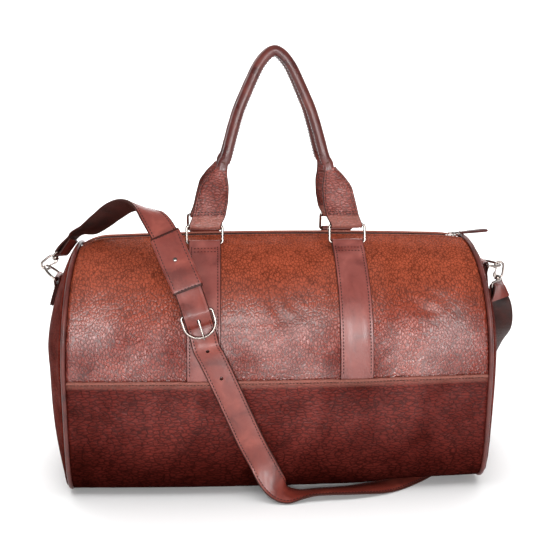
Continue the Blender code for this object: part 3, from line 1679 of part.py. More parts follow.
def make_buckle_prong():
    half = PRONG_BARREL_LENGTH / 2.0
    outer = BUCKLE_WIRE / 2.0 + PRONG_PLAY + PRONG_WIRE * 0.42
    barrel = rod_mesh((-half, 0.0, 0.0), (half, 0.0, 0.0), outer, 14)
    obj = mesh_object("buckle_prong", barrel, "metal", buckle_frame(), rounded=False)
    start, end = prong_line()
    shank = rod_mesh(start, end, PRONG_WIRE / 2.0, 8)
    add_boolean(obj, shank, "UNION")
    bore = BUCKLE_WIRE / 2.0 + PRONG_PLAY
    reach = half + CUT_OVERRUN
    add_boolean(obj, rod_mesh((-reach, 0.0, 0.0), (reach, 0.0, 0.0), bore, 14), "DIFFERENCE")
    return obj


def sleeve_frames():
    frames = short_frames()
    lengths = run_lengths(frames)
    end = lengths[-1] - SLEEVE_FOOT
    count = 6
    places = []
    lift = (SHOULDER_THICKNESS + SLEEVE_PLAY) / 2.0
    for i in range(count + 1):
        at = between(end - SLEEVE_LENGTH, end, i / count)
        place, along, across, out = frame_at(frames, lengths, at)
        places.append((place + out * lift, along, across, out))
    return places


def sleeve_sizes():
    inner_half_height = SHOULDER_THICKNESS + 1.5 * SLEEVE_PLAY
    inner_half_width = SHOULDER_WIDTH / 2.0 + SLEEVE_PLAY
    return inner_half_width, inner_half_height


def make_sleeve():
    half_width, half_height = sleeve_sizes()
    wall = SLEEVE_LEATHER
    frames = sleeve_frames()
    sections = []
    for place, along, across, out in frames:
        ring = []
        for sx, sz in ((-1, -1), (1, -1), (1, 1), (-1, 1)):
            ring.append(place + across * sx * (half_width + wall) + out * sz * (half_height + wall))
        sections.append(ring)
    inside = []
    for place, along, across, out in frames:
        ring = []
        for sx, sz in ((-1, -1), (1, -1), (1, 1), (-1, 1)):
            ring.append(place + across * sx * half_width + out * sz * half_height)
        inside.append(ring)
    points = [p for ring in sections for p in ring] + [p for ring in inside for p in ring]
    count = len(frames)
    shift = 4 * count
    faces = []
    for i in range(count - 1):
        for k in range(4):
            n = (k + 1) % 4
            outer = (4 * i + k, 4 * i + n, 4 * (i + 1) + n, 4 * (i + 1) + k)
            faces.append(outer)
            faces.append(tuple(shift + v for v in reversed(outer)))
    for i in (0, count - 1):
        for k in range(4):
            n = (k + 1) % 4
            ring = (4 * i + k, shift + 4 * i + k, shift + 4 * i + n, 4 * i + n)
            faces.append(ring if i == 0 else tuple(reversed(ring)))
    mesh = facing_out(mesh_from("strap_sleeve", points, faces))
    obj = mesh_object("strap_sleeve", mesh, "strap_leather", rounded=False)
    place, along, across, out = rivet_place()
    reach = out * (SLEEVE_LEATHER + CUT_OVERRUN)
    bore = rod_mesh(place - reach, place + out * CUT_OVERRUN, RIVET_SHANK / 2.0 + GAP, 10)
    add_boolean(obj, bore, "DIFFERENCE")
    return obj


def rivet_place():
    frames = sleeve_frames()
    lengths = run_lengths(frames)
    place, along, across, out = frame_at(frames, lengths, RIVET_PLACE_share * lengths[-1])
    _, half_height = sleeve_sizes()
    return place + out * (half_height + SLEEVE_LEATHER), along, across, out


def make_rivet():
    place, along, across, out = rivet_place()
    profile = (
        (0.0, RIVET_HEIGHT + GAP),
        (RIVET_DIAMETER * 0.22, RIVET_HEIGHT * 0.93 + GAP),
        (RIVET_DIAMETER * 0.40, RIVET_HEIGHT * 0.62 + GAP),
        (RIVET_DIAMETER * 0.50, GAP),
        (RIVET_SHANK / 2.0, GAP),
        (RIVET_SHANK / 2.0, GAP - SLEEVE_LEATHER),
        (0.0, GAP - SLEEVE_LEATHER),
    )
    mesh = mesh_from("strap_rivet", [(r, 0.0, z) for r, z in reversed(profile)], [])
    work = bmesh.new()
    work.from_mesh(mesh)
    work.verts.ensure_lookup_table()
    for i in range(len(profile) - 1):
        work.edges.new((work.verts[i], work.verts[i + 1]))
    work.to_mesh(mesh)
    work.free()
    axes = Matrix((along, across, out)).transposed().to_4x4()
    obj = mesh_object("strap_rivet", mesh, "metal", Matrix.Translation(place) @ axes)
    screw = obj.modifiers.new("turn", "SCREW")
    screw.axis = "Z"
    screw.steps = 12
    screw.render_steps = 12
    screw.use_merge_vertices = True
    screw.merge_threshold = WELD
    screw.use_normal_calculate = True
    screw.use_normal_flip = True
    return obj


def main():
    clear_scene()
    collection(COLLECTION)
    collection(CUTTERS, hidden=True)

    make_upper_panel("front_panel", -1.0)
    make_upper_panel("back_panel", 1.0)
    make_base_wrap()
    make_end_panel("end_panel_left", -1.0)
    make_end_panel("end_panel_right", 1.0)
    make_piping("piping_left", -1.0)
    make_piping("piping_right", 1.0)
    make_lining()
    make_base_board()

    make_zip_tape("zip_tape_front", -1.0)
    make_zip_tape("zip_tape_back", 1.0)
    make_teeth("zip_teeth_front", -1.0, 0.0)
    make_teeth("zip_teeth_back", 1.0, 0.5)
    make_zip_stop("zip_stop_left", -1.0)
    make_zip_stop("zip_stop_right", 1.0)
    make_zip_slider()
    make_zip_link()
    make_zip_pull()

    for side, where in ((-1.0, "front"), (1.0, "back")):
        for hand, which in ((-1.0, "left"), (1.0, "right")):
            make_body_strap("body_strap_" + where + "_" + which, side, hand)
            make_ring("ring_" + where + "_" + which, side, hand)
            make_handle_tab("handle_tab_" + where + "_" + which, side, hand)
        make_handle_roll("handle_roll_" + where, side)
        make_handle_core("handle_core_" + where, side)

    for end, which in ((-1.0, "left"), (1.0, "right")):
        make_d_tab("d_tab_" + which, end)
        make_d_ring("d_ring_" + which, end)
        make_hook_body("hook_body_" + which, end)
        make_hook_gate("hook_gate_" + which, end)
        make_hook_eye("hook_eye_" + which, end)

    make_short_strap()
    make_long_strap()
    make_buckle_frame()
    make_buckle_prong()
    make_sleeve()
    make_rivet()


main()
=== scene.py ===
"""Looks of the leather travel bag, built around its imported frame.

Every piece is in the frame's own metres: +Z up, +X to the bag's right end, front at -Y.
The soft pieces are made again here at a finer pitch, on the same curves as the solids that
they stand for, and the metal pieces are turned and bent wires with rounded edges.
"""

import bisect
import itertools
import json
import math

import bmesh
import bpy
from mathutils import Matrix, Vector, noise


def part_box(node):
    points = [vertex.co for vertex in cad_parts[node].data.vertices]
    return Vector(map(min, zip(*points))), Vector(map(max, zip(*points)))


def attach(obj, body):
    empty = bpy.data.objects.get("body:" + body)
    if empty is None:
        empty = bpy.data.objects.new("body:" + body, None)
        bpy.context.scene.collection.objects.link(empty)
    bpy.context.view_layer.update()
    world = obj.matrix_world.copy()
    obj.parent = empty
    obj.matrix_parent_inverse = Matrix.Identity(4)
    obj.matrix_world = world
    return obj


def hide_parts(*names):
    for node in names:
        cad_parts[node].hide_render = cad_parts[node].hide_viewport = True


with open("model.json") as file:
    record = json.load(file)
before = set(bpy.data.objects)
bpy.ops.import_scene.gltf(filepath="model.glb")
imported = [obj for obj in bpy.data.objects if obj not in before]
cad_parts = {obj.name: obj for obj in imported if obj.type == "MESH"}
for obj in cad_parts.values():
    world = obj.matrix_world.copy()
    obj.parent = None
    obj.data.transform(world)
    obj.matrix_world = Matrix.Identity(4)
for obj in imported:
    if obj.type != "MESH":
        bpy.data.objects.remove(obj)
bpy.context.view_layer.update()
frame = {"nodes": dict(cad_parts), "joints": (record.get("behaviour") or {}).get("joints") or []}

ACROSS = Vector((1.0, 0.0, 0.0))
BACKWARDS = Vector((0.0, 1.0, 0.0))
UP = Vector((0.0, 0.0, 1.0))
ENDS = ((-1.0, "left"), (1.0, "right"))

# Clearances
GAP = 0.0003
BAR_PLAY = 0.0005

# Bag body
HALF_LENGTH = 0.250
HALF_DEPTH = 0.1225
HEIGHT = 0.297
BELLY_HEIGHT = 0.153
TOP_ROUNDNESS_share = 2.26
BASE_ROUNDNESS_share = 7.5
BASE_FLAT = 0.0006
END_LEAN_share = 0.034
END_TUCK_share = 0.008
BELLY_SWELL_share = 0.084
TOP_ARCH = 0.0044
END_DOME = 0.0300
END_DOME_POWER = 1.6
END_CENTRE_share = 0.5
LEATHER = 0.0017
SEAM_HEIGHT = 0.1465
SEAM_LAP = 0.012
ZIP_OPENING = 0.020
PIPING_DIAMETER = 0.0056
PIPING_SINK = 0.0012
CORNER_DROPS = (0.010, 0.003)
CORNER_START_share = 0.86
SECTION_STEPS = 160
TURN_WEIGHT = HALF_DEPTH * 0.75
PROBE = HALF_DEPTH * 0.02
LIFT_START_share = 0.38
LIFT_END_share = 0.60

# How finely the skin is made
SKIN_COLUMNS = 132
TOP_ROWS = 56
BASE_ROWS = 64
DOME_RINGS = 14
DOME_SPREAD = 1.3

# Zip
TAPE_WIDTH = 0.0100
TAPE_THICKNESS = 0.0008
TOOTH_HEIGHT = 0.0030
TOOTH_REACH = 0.0022
TOOTH_RAIL = 0.0010
TOOTH_PARTING = 0.0016
TOOTH_PITCH = 0.0027
CHAIN_DEPTH = 0.0063
CHAIN_ENDS_shares = (0.93, 0.988)
STOP_LENGTH = 0.0022
STOP_WIDTH = 0.0062
SLIDER_LENGTH = 0.0140
SLIDER_WIDTH = 0.0108
SLIDER_NOSE = 0.0080
SLIDER_PLATE = 0.0013
BAIL_LENGTH = 0.0080
BAIL_HEIGHT = 0.0042
BAIL_WIRE = 0.0015
LINK_WIRE = 0.0014
LINK_LENGTH = 0.0120
LINK_WIDTH = 0.0080
PULL_LENGTH = 0.0360
PULL_ROOT = 0.0068
PULL_WIDTH = 0.0120
PULL_THICKNESS = 0.0026
PULL_KNUCKLE = 0.0036
PULL_RISE_DEG = 5.0

# Straps sewn down the front and back
STRAP_OFFSET = 0.087
STRAP_WIDTH = 0.0385
STRAP_THICKNESS = 0.0017
STRAP_FOLD = 0.021
STRAP_RAMP = 0.010

# Rectangular rings
RING_WIRE = 0.0034
RING_INNER_WIDTH = 0.0400
RING_BAR_SPACING = 0.0214
RING_CORNER = 0.0031
RING_LEAN_DEG = 12.0
RING_FOOT_DEPTH_share = 0.370

# Handles
HANDLE_LEAN_DEG = 8.8
HANDLE_RISE = 0.2100
HANDLE_DIAMETER = 0.0132
TAB_WIDTH = 0.0385
TAB_THICKNESS = 0.0020
# Half the handle's line: across and up
HANDLE_PATH_shares = (
    (0.735, 0.356),
    (0.695, 0.383),
    (0.640, 0.465),
    (0.586, 0.550),
    (0.500, 0.665),
    (0.402, 0.761),
    (0.320, 0.838),
    (0.230, 0.914),
    (0.170, 0.950),
    (0.115, 0.976),
    (0.055, 0.996),
    (0.000, 1.004),
)
# Where the roll begins, inside the tabs
HANDLE_FOOT_share = (0.748, 0.318)
# A tab's line and width: across, up, width
TAB_shares = (
    (1.000, 0.000, 1.00),
    (0.943, 0.045, 1.05),
    (0.897, 0.134, 1.04),
    (0.862, 0.225, 0.94),
    (0.815, 0.290, 0.62),
    (0.751, 0.337, 0.36),
)

# D-rings, snap hooks
D_HEIGHTS = (0.243, 0.254)
D_RISES_DEG = (42.0, -6.0)
D_STANDOFFS = (0.0, 0.0045)
D_WIRE = 0.0034
D_INNER_WIDTH = 0.0330
D_REACH = 0.0222
D_TAB_WIDTH = 0.0300
D_TAB_LENGTH = 0.0320
D_TAB_THICKNESS = 0.0020
HOOK_REACH = 0.0280
HOOK_AXES_DEG = (38.0, -94.6)
HOOK_TURNS_DEG = (74.0, -53.0)
HOOK_WIRE = 0.0030
HOOK_BOW_WIDTH = 0.0116
HOOK_NOSE = 0.0020
HOOK_COLLAR_DIAMETER = 0.0088
HOOK_COLLAR_START_share = 0.550
HOOK_COLLAR_LENGTH = 0.0046
EYE_WIRE = 0.0026
EYE_INNER_WIDTH = 0.0336
EYE_HEIGHT = 0.0063
EYE_CORNER = 0.0022
POST_DIAMETER = 0.0032
POST_HEAD_DIAMETER = 0.0050
POST_HEAD_LENGTH = 0.0014
GATE_WIRE = 0.0020
GATE_BARREL_DIAMETER = 0.0030
GATE_BARREL_LENGTH = 0.0024
GATE_PLAY = 0.0003
GATE_PLACE_shares = (0.164, 0.429)
GATE_TIP_shares = (0.108, 0.116)
CHEEK = 0.0010
CHEEK_START_share = 0.108
CHEEK_FOOT_share = 0.379

# Shoulder strap
SHOULDER_WIDTH = 0.0320
SHOULDER_THICKNESS = 0.0026
SHOULDER_FOLD = 0.022
SHOULDER_CLEAR = 0.0008
FOLD_BLEND = 0.024
BUCKLE_WIRE = 0.0032
BUCKLE_INNER_WIDTH = 0.0340
BUCKLE_LENGTH = 0.0290
BUCKLE_SIDE_share = 0.42
PRONG_WIRE = 0.0026
PRONG_BARREL_LENGTH = 0.0036
PRONG_PLAY = 0.0004
HOLE_DIAMETER = 0.0044
HOLE_SPACING = 0.0385
HOLE_COUNT = 2
SLEEVE_LENGTH = 0.072
SLEEVE_FOOT = 0.027
SLEEVE_LEATHER = 0.0016
SLEEVE_PLAY = 0.0005
RIVET_DIAMETER = 0.0050
RIVET_HEIGHT = 0.0014
RIVET_PLACE_share = 0.47
TAIL_END_share = 0.80
# Stations along the strap: place as shares of half length, half depth and height, then
# the direction across the strap; the front ones lie on the skin and need x and z only
SHORT_STATIONS_shares = (
    (-1.0060, 0.0360, 0.9960, 0.280, 0.945, -0.170),
    (-0.9700, 0.0100, 1.0160, 0.390, 0.860, -0.300),
    (-0.9220, -0.0245, 1.0305, 0.475, 0.743, -0.472),
    (-0.8624, -0.0980, 1.0692, 0.487, 0.637, -0.597),
    (-0.8030, -0.1796, 1.1108, 0.497, 0.588, -0.638),
    (-0.7492, -0.2776, 1.1416, 0.576, 0.601, -0.554),
    (-0.6944, -0.3837, 1.1561, 0.694, 0.550, -0.465),
    (-0.6434, -0.4980, 1.1519, 0.853, 0.394, -0.344),
    (-0.6008, -0.6204, 1.1323, 0.968, 0.200, -0.150),
    (-0.5416, -0.7592, 1.0707, 0.981, 0.091, 0.173),
    (-0.4904, -0.8816, 0.9771, 0.964, 0.084, 0.252),
    (-0.4300, -1.0100, 0.8680, 0.953, 0.078, 0.290),
)
BUCKLE_BAR_shares = (-0.3912, -1.0759, 0.7748)
BUCKLE_ACROSS_share = (0.975, 0.060, 0.215)
BUCKLE_DOWN_share = (0.282, -0.175, -0.943)
BELOW_BUCKLE_shares = (-0.3460, -1.1184, 0.6377, 0.969, -0.013, 0.247)
FRONT_STATIONS_shares = (
    (-0.3236, 0.5953),
    (-0.2600, 0.4771),
    (-0.2024, 0.3643),
    (-0.1416, 0.2455),
    (-0.0892, 0.1576),
)
FLOOR_STATIONS_shares = (
    (-0.0400, -1.1306, 0.0808, 0.85, 0.35, 0.35),
    (0.0160, -1.1347, 0.0320, 0.60, 0.75, 0.10),
    (0.0880, -1.0980, 0.0152, 0.25, 0.95, -0.10),
    (0.1800, -1.0735, 0.0175, 0.05, 0.97, -0.20),
    (0.3600, -1.0408, 0.0152, 0.02, 0.98, -0.14),
    (0.5200, -0.9388, 0.0074, 0.29, 0.95, 0.00),
    (0.6600, -0.7592, 0.0064, 0.62, 0.78, 0.00),
    (0.8000, -0.4898, 0.0064, -0.74, -0.67, 0.00),
    (0.9280, -0.1633, 0.0064, -0.83, -0.55, 0.00),
    (1.0280, 0.2041, 0.0064, -0.86, 0.51, 0.00),
    (1.1120, 0.4898, 0.0135, -0.87, 0.50, 0.00),
    (1.1760, 0.6122, 0.0606, -0.87, 0.50, 0.00),
    (1.2120, 0.5878, 0.1684, -0.57, 0.82, 0.00),
    (1.2240, 0.4735, 0.3030, 0.26, 0.97, 0.00),
    (1.2200, 0.3265, 0.4545, 0.91, 0.42, 0.00),
    (1.2080, 0.0400, 0.6061, 0.94, -0.34, 0.00),
)

# Details that only the looks have: relief, stitches, edges
STRAP_EASE = 0.006
CALM = 0.016
SEED = 4.3
BROAD_DENT = 0.085
BROAD_DEPTH = 0.0012
FOLD_LONG = 0.070
FOLD_SHORT = 0.022
FOLD_DEPTH = 0.0008
SMALL_DENT = 0.016
SMALL_DEPTH = 0.00015
PUCKER_PITCH = 0.0090
PUCKER_DEPTH = 0.0006
PUCKER_REACH = 0.010
HEM_TURN = 0.0012
HEM_STITCH = 0.0042
HEM_RISE = 0.0009
EDGE_STEPS = 4
LATHE_SIDES = 28
COLLAR_SIDES = 32
THREAD_SIDES = 5
STITCH_PITCH = 0.0040
THREAD = 0.0012
# One stitch: share of its length, dip and size as shares of its radius
STITCH_SHAPE = (
    (0.0, -0.6, 0.35),
    (0.2, 0.2, 0.9),
    (0.5, 0.5, 1.0),
    (0.8, 0.2, 0.9),
    (1.0, -0.6, 0.35),
)
STITCH_GAP_share = 0.28
STITCH_INSET = 0.0036
GROOVE_WIDTH = 0.0009
GROOVE_DEPTH = 0.0004
TUCK_REACH = 0.012
BASE_CALM = 0.020
BASE_SOFT_share = 0.8
SEAM_REACH_share = 0.985
END_ROWS = 72
END_PUCKERS = 60
END_PUCKER_share = 0.07
END_CALM_share = 0.14
END_DENT = 1.6
END_TAB_EASE = 0.02
END_TAB_REACH = 0.05
LINING = 0.0008
LINING_SLACK = 0.0014
LINING_OPENING = 0.036
LINING_REACH_share = 0.955
LINING_DOME = 0.020
LINING_DOME_shares = (0.9, 0.72, 0.5, 0.28, 0.08)
LINING_ROWS = 28
LINING_COLUMNS = 24
TAPE_COLUMNS = 110
TAPE_ENDS_shares = (-0.95, 0.985)
SLIDER_WEB = 0.0009
SLIDER_WEB_LENGTH = 0.0050
HANDLE_LEATHER = 0.0020
TAB_BACK_share = 0.275
ROLL_BLEND = 0.025
ROLL_GROOVE = 0.0005
TAB_STITCH_INSET = 0.003
STRAP_ROWS = 40
POST_PLAY = 0.0004
GATE_PIN_DIAMETER = 0.0011
SLOT_PLAY = 0.0006
HOLE_PLAY = 0.0012
RIVET_SHANK = 0.0022
TONGUE_LENGTH = 0.019
TONGUE_share = 0.50
CURVE_STEPS = 8
CUT_OVERRUN = 0.002
# How a fold fades at its ends, and the swell beside it
CREASE_FADE_share = 0.3
CREASE_SWELL_PLACE = 1.8
CREASE_SWELL_share = 0.45
# Folds in the front leather: start and end (x, z), width, depth
CREASES = (
    (-0.200, 0.158, -0.135, 0.200, 0.0050, 0.0018),
    (-0.195, 0.175, -0.150, 0.205, 0.0035, 0.0013),
    (0.112, 0.152, 0.135, 0.185, 0.0040, 0.0015),
    (0.112, 0.150, 0.150, 0.165, 0.0040, 0.0013),
    (0.116, 0.255, 0.198, 0.215, 0.0060, 0.0013),
    (0.150, 0.262, 0.212, 0.228, 0.0045, 0.0010),
    (-0.030, 0.262, 0.010, 0.205, 0.0050, 0.0011),
    (-0.012, 0.270, 0.022, 0.222, 0.0040, 0.0009),
    (-0.225, 0.235, -0.170, 0.262, 0.0050, 0.0010),
)

# Colours, all linear
BAG_TONES = ((0.110, 0.014, 0.010), (0.180, 0.027, 0.017), (0.250, 0.045, 0.028))
# Painted light: the colour that the upper part of the bag is painted towards, lighter and more
# orange
TOP_PAINTED_LIGHT = (0.270, 0.056, 0.026)
END_TONES = ((0.070, 0.010, 0.007), (0.120, 0.018, 0.012), (0.175, 0.030, 0.020))
BASE_TONES = ((0.050, 0.006, 0.004), (0.090, 0.011, 0.008), (0.135, 0.019, 0.014))
HANDLE_TONES = ((0.040, 0.006, 0.005), (0.075, 0.011, 0.008), (0.125, 0.021, 0.014))
TAB_TONES = ((0.105, 0.016, 0.011), (0.170, 0.028, 0.018), (0.235, 0.047, 0.031))
STRAP_TONES = ((0.120, 0.018, 0.013), (0.180, 0.033, 0.024), (0.240, 0.052, 0.038))
SHOULDER_TONES = ((0.100, 0.014, 0.009), (0.165, 0.027, 0.018), (0.235, 0.046, 0.030))
# The flesh side's tones, nearly black: partly its own dark colour, partly painted shade for an
# underside that lies in shadow
FLESH_AND_SHADE_TONES = ((0.014, 0.004, 0.003), (0.030, 0.006, 0.004), (0.055, 0.011, 0.008))
PULL_TONES = ((0.030, 0.007, 0.006), (0.060, 0.012, 0.010), (0.110, 0.022, 0.017))
PIPING_TONES = ((0.045, 0.008, 0.006), (0.085, 0.015, 0.011), (0.150, 0.030, 0.021))
EDGE_COLOUR = (0.030, 0.007, 0.005)
THREAD_COLOUR = (0.040, 0.009, 0.007)
NICKEL_DARK = (0.24, 0.20, 0.18)
NICKEL_LIGHT = (0.44, 0.38, 0.35)
LINING_COLOUR = (0.055, 0.040, 0.032)
TAPE_COLOUR = (0.055, 0.016, 0.012)
CORE_COLOUR = (0.090, 0.030, 0.020)
BOARD_COLOUR = (0.16, 0.11, 0.07)
FLOOR_COLOUR = (0.93, 0.93, 0.93)
PATCH_SCALE = 11.0
GRAIN = 300.0
# The grain's cells lean one way in some regions and the other way in the rest, in radians
GRAIN_LEANS = (-0.45, 0.30)
GRAIN_WARP = 0.45
REGION_SCALE = 16.0
LINE_SCALE = 46.0
MOTTLE_share = 0.16
GRIT_share = 2.6
PEBBLE_RELIEF = 0.0007
LINE_RELIEF = 0.0006
FINE_RELIEF = 0.0003
PORE_RELIEF = 0.0002
FILM_ROUGHNESS = 0.36
CLOUD_SCALE = 38.0
PORE_SCALE = 1900.0
SCUFF_SCALE = 260.0
WRINKLE_SCALE = 520.0
VALLEY_SHADE = 0.50
WEAVE_SHADE = 0.4
# Patches polished by handling: x, z, radius, strength
POLISHED = (
    (-0.228, 0.214, 0.055, 0.9),
    (-0.047, 0.228, 0.045, 0.6),
    (0.026, 0.222, 0.050, 0.8),
    (0.205, 0.205, 0.050, 0.6),
    (-0.079, 0.168, 0.040, 0.5),
    (0.150, 0.180, 0.055, 0.4),
)
SHEEN_SCALE = 9.0
# Stops over the bag's height, as shares of HEIGHT; the shade stops are painted shade that darkens
# the colour lower down
BAG_PAINTED_SHADE = ((0.0, 0.9), (0.6, 1.0))
BAG_SHINES = ((0.45, 1.0), (0.78, 0.75), (0.96, 0.12))
BASE_PAINTED_SHADE = ((0.02, 0.28), (0.36, 1.0))
BASE_SHINES = ((0.04, 0.12), (0.36, 0.75))
END_PAINTED_SHADE = ((0.02, 0.50), (0.40, 1.0))
END_SHINES = ((0.0, 0.10), (1.0, 0.14))
EVEN = ((0.0, 1.0), (1.0, 1.0))
# Painted highlight: pale bands laid on the base's turned edge at the seam, the panels' folded
# edge by the zip and the tabs' fold round the ring; an axis of the piece's own, a scale, and
# stops along the scaled distance
SEAM_PAINTED_HIGHLIGHT = ("Z", 1.0 / HEIGHT, ((0.458, 0.0), (0.474, 0.30), (0.488, 0.60)))
ZIP_EDGE_PAINTED_HIGHLIGHT = ("Y", 20.0, ((0.225, 0.65), (0.285, 0.0)))
TAB_FOLD_PAINTED_HIGHLIGHT = ("Z", 20.0, ((0.19, 0.40), (0.25, 0.0)))
PAINTED_HIGHLIGHT_COLOUR = (0.33, 0.13, 0.10)

# Pebbled leathers: name, tones, grain, relief, gloss, pull, painted shade over the height,
# shines, painted light at the top, painted highlight on folded edges
LEATHERS = (
    (
        "bag_leather", BAG_TONES, GRAIN, 0.75, (0.30, 0.65, 1.0), (1.0, 0.75, 0.62),
        BAG_PAINTED_SHADE, BAG_SHINES, TOP_PAINTED_LIGHT, ZIP_EDGE_PAINTED_HIGHLIGHT,
    ),
    (
        "base_leather", BASE_TONES, GRAIN, 0.9, (0.38, 0.25, 0.0), (0.40, 0.7, 1.0),
        BASE_PAINTED_SHADE, BASE_SHINES, None, SEAM_PAINTED_HIGHLIGHT,
    ),
    (
        "end_leather", END_TONES, GRAIN, 0.4, (0.40, 0.3, 0.0), (1.0, 0.9, 0.9),
        END_PAINTED_SHADE, END_SHINES, None, None,
    ),
    (
        "tab_leather", TAB_TONES, GRAIN * 1.1, 0.6, (0.34, 0.45, 0.0), (0.5, 1.0, 1.0),
        EVEN, EVEN, None, TAB_FOLD_PAINTED_HIGHLIGHT,
    ),
)
# Smooth leathers: name, tones, gloss, relief, index
STRAP_LEATHERS = (
    ("roll_leather", HANDLE_TONES, (0.30, 0.30, 0.14), 0.25, 1.42),
    ("body_strap_leather", STRAP_TONES, (0.36, 0.30, 0.2), 0.25, 1.5),
    ("shoulder_leather", SHOULDER_TONES, (0.34, 0.25, 0.2), 0.25, 1.42),
    ("flesh_side_leather", FLESH_AND_SHADE_TONES, (0.45, 0.0, 0.2), 0.6, 1.33),
    ("pull_leather", PULL_TONES, (0.40, 0.0, 0.2), 0.25, 1.2),
    ("piping_leather", PIPING_TONES, (0.34, 0.12, 0.18), 0.5, 1.38),
)

# Studio: the camera was solved from the photograph's own vanishing lines
SENSOR = 36.0
LENS = 63.27
CAMERA_PLACE = (-0.087, -1.185, 0.511)
CAMERA_YAW_DEG = 4.0
CAMERA_PITCH_DEG = 12.36
CAMERA_ROLL_DEG = 0.2
CAMERA_CLIP = (0.01, 60.0)
FLOOR_CLEAR = 0.0005
FLOOR_NEAR = -6.0
FLOOR_FAR = 2.5
FLOOR_BEND = 1.5
FLOOR_HALF_WIDTH = 7.0
BACKDROP_TOP = 6.0
WORLD_COLOUR = (1.0, 1.0, 1.0)
WORLD_STRENGTH = 0.32
# name, place, aim, size, watts, whether it shows in the leather's shine
SOFT_BOXES = (
    ("light_left", (-0.75, -2.5, 0.70), (-0.15, 0.0, 0.18), (0.60, 0.9), 21.0, True),
    ("light_middle", (0.22, -2.6, 0.70), (0.0, 0.0, 0.18), (0.60, 0.9), 21.0, True),
    ("light_right", (1.15, -2.5, 0.70), (0.15, 0.0, 0.18), (0.60, 0.9), 21.0, True),
    ("light_top", (0.0, 0.4, 3.2), (0.0, 0.4, 0.0), (5.0, 5.0), 160.0, False),
    ("light_backdrop", (0.0, 1.9, 3.0), (0.0, 4.0, 0.9), (5.0, 1.5), 120.0, False),
)


def smooth(t):
    t = min(max(t, 0.0), 1.0)
    return t * t * (3.0 - 2.0 * t)


def between(a, b, t):
    return a + (b - a) * t


def step_of(keys, key):
    """Which step of the rising keys holds the key, and the share of it that is passed."""
    i = min(max(bisect.bisect_left(keys, key), 1), len(keys) - 1)
    span = keys[i] - keys[i - 1]
    return i, (key - keys[i - 1]) / span if span > 0.0 else 0.0


def look_up(keys, values, key):
    i, t = step_of(keys, key)
    return between(values[i - 1], values[i], min(max(t, 0.0), 1.0))


def run_lengths(line):
    """Length along a line at each of its rows, which begin with a place."""
    lengths = [0.0]
    for a, b in zip(line, line[1:]):
        lengths.append(lengths[-1] + (b[0] - a[0]).length)
    return lengths


def quarter_turn(steps):
    """Angles from 0 to 90 degrees."""
    return [math.pi / 2.0 * i / steps for i in range(steps + 1)]


def circle(count):
    """Cosine and sine of directions spread evenly all round."""
    angles = [2.0 * math.pi * k / count for k in range(count)]
    return [(math.cos(angle), math.sin(angle)) for angle in angles]


def frame_of(place, x_axis, y_axis, z_axis):
    axes = Matrix((x_axis, y_axis, z_axis)).transposed().to_4x4()
    return Matrix.Translation(place) @ axes


def linked(name, data):
    """A new object with this data, in the scene."""
    obj = bpy.data.objects.new(name, data)
    bpy.context.scene.collection.objects.link(obj)
    return obj


def outward_mesh(name, points, faces, kinds=()):
    """Mesh with its faces turned outwards; kinds numbers each face's material."""
    mesh = bpy.data.meshes.new(name)
    mesh.from_pydata([tuple(p) for p in points], [], faces)
    for number, face in zip(kinds, mesh.polygons):
        face.material_index = number
    mesh.validate()
    work = bmesh.new()
    work.from_mesh(mesh)
    bmesh.ops.recalc_face_normals(work, faces=work.faces)
    work.to_mesh(mesh)
    work.free()
    return mesh


# Section of the bag, from the middle of the top down one side to the middle of the base


def section_curve():
    points = []
    top = HEIGHT - BELLY_HEIGHT
    for i in range(SECTION_STEPS + 1):
        angle = math.pi / 2.0 * (1.0 - i / SECTION_STEPS)
        y = HALF_DEPTH * max(math.cos(angle), 0.0) ** (2.0 / TOP_ROUNDNESS_share)
        z = BELLY_HEIGHT + top * max(math.sin(angle), 0.0) ** (2.0 / TOP_ROUNDNESS_share)
        points.append((y, z))
    for i in range(1, SECTION_STEPS + 1):
        angle = math.pi / 2.0 * i / SECTION_STEPS
        y = HALF_DEPTH * max(math.cos(angle), 0.0) ** (2.0 / BASE_ROUNDNESS_share)
        z = BELLY_HEIGHT * (1.0 - max(math.sin(angle), 0.0) ** (2.0 / BASE_ROUNDNESS_share))
        points.append((y, max((z - BASE_FLAT) * BELLY_HEIGHT / (BELLY_HEIGHT - BASE_FLAT), 0.0)))
    return points


SECTION = section_curve()
SECTION_Y = [p[0] for p in SECTION]
SECTION_Z = [p[1] for p in SECTION]


def section_measures():
    """Length along the section at each point, and length mixed with turning."""
    lengths = [0.0]
    mixed = [0.0]
    heading = None
    for a, b in zip(SECTION, SECTION[1:]):
        step = math.hypot(b[0] - a[0], b[1] - a[1])
        angle = math.atan2(b[1] - a[1], b[0] - a[0])
        turned = abs(angle - heading) if heading is not None else 0.0
        heading = angle
        lengths.append(lengths[-1] + step)
        mixed.append(mixed[-1] + step + TURN_WEIGHT * turned)
    return lengths, mixed


LENGTHS, MIXED = section_measures()


def section_point(s):
    return look_up(LENGTHS, SECTION_Y, s), look_up(LENGTHS, SECTION_Z, s)


def section_normal(s):
    a = section_point(max(s - PROBE, 0.0))
    b = section_point(min(s + PROBE, LENGTHS[-1]))
    if s < PROBE:
        a = (-b[0], b[1])
    ty, tz = b[0] - a[0], b[1] - a[1]
    size = math.hypot(ty, tz)
    return -tz / size, ty / size


def length_where(values, value, sign):
    """Length at which the section's values pass this one; sign is 1 where they rise."""
    passed = (i for i, v in enumerate(values) if sign * v >= sign * value)
    i = max(next(passed, len(values) - 1), 1)
    a, b = values[i - 1], values[i]
    return between(LENGTHS[i - 1], LENGTHS[i], (value - a) / (b - a))


def length_at_height(z):
    return length_where(SECTION_Z, z, -1.0)


def length_at_depth(y):
    return length_where(SECTION_Y, y, 1.0)


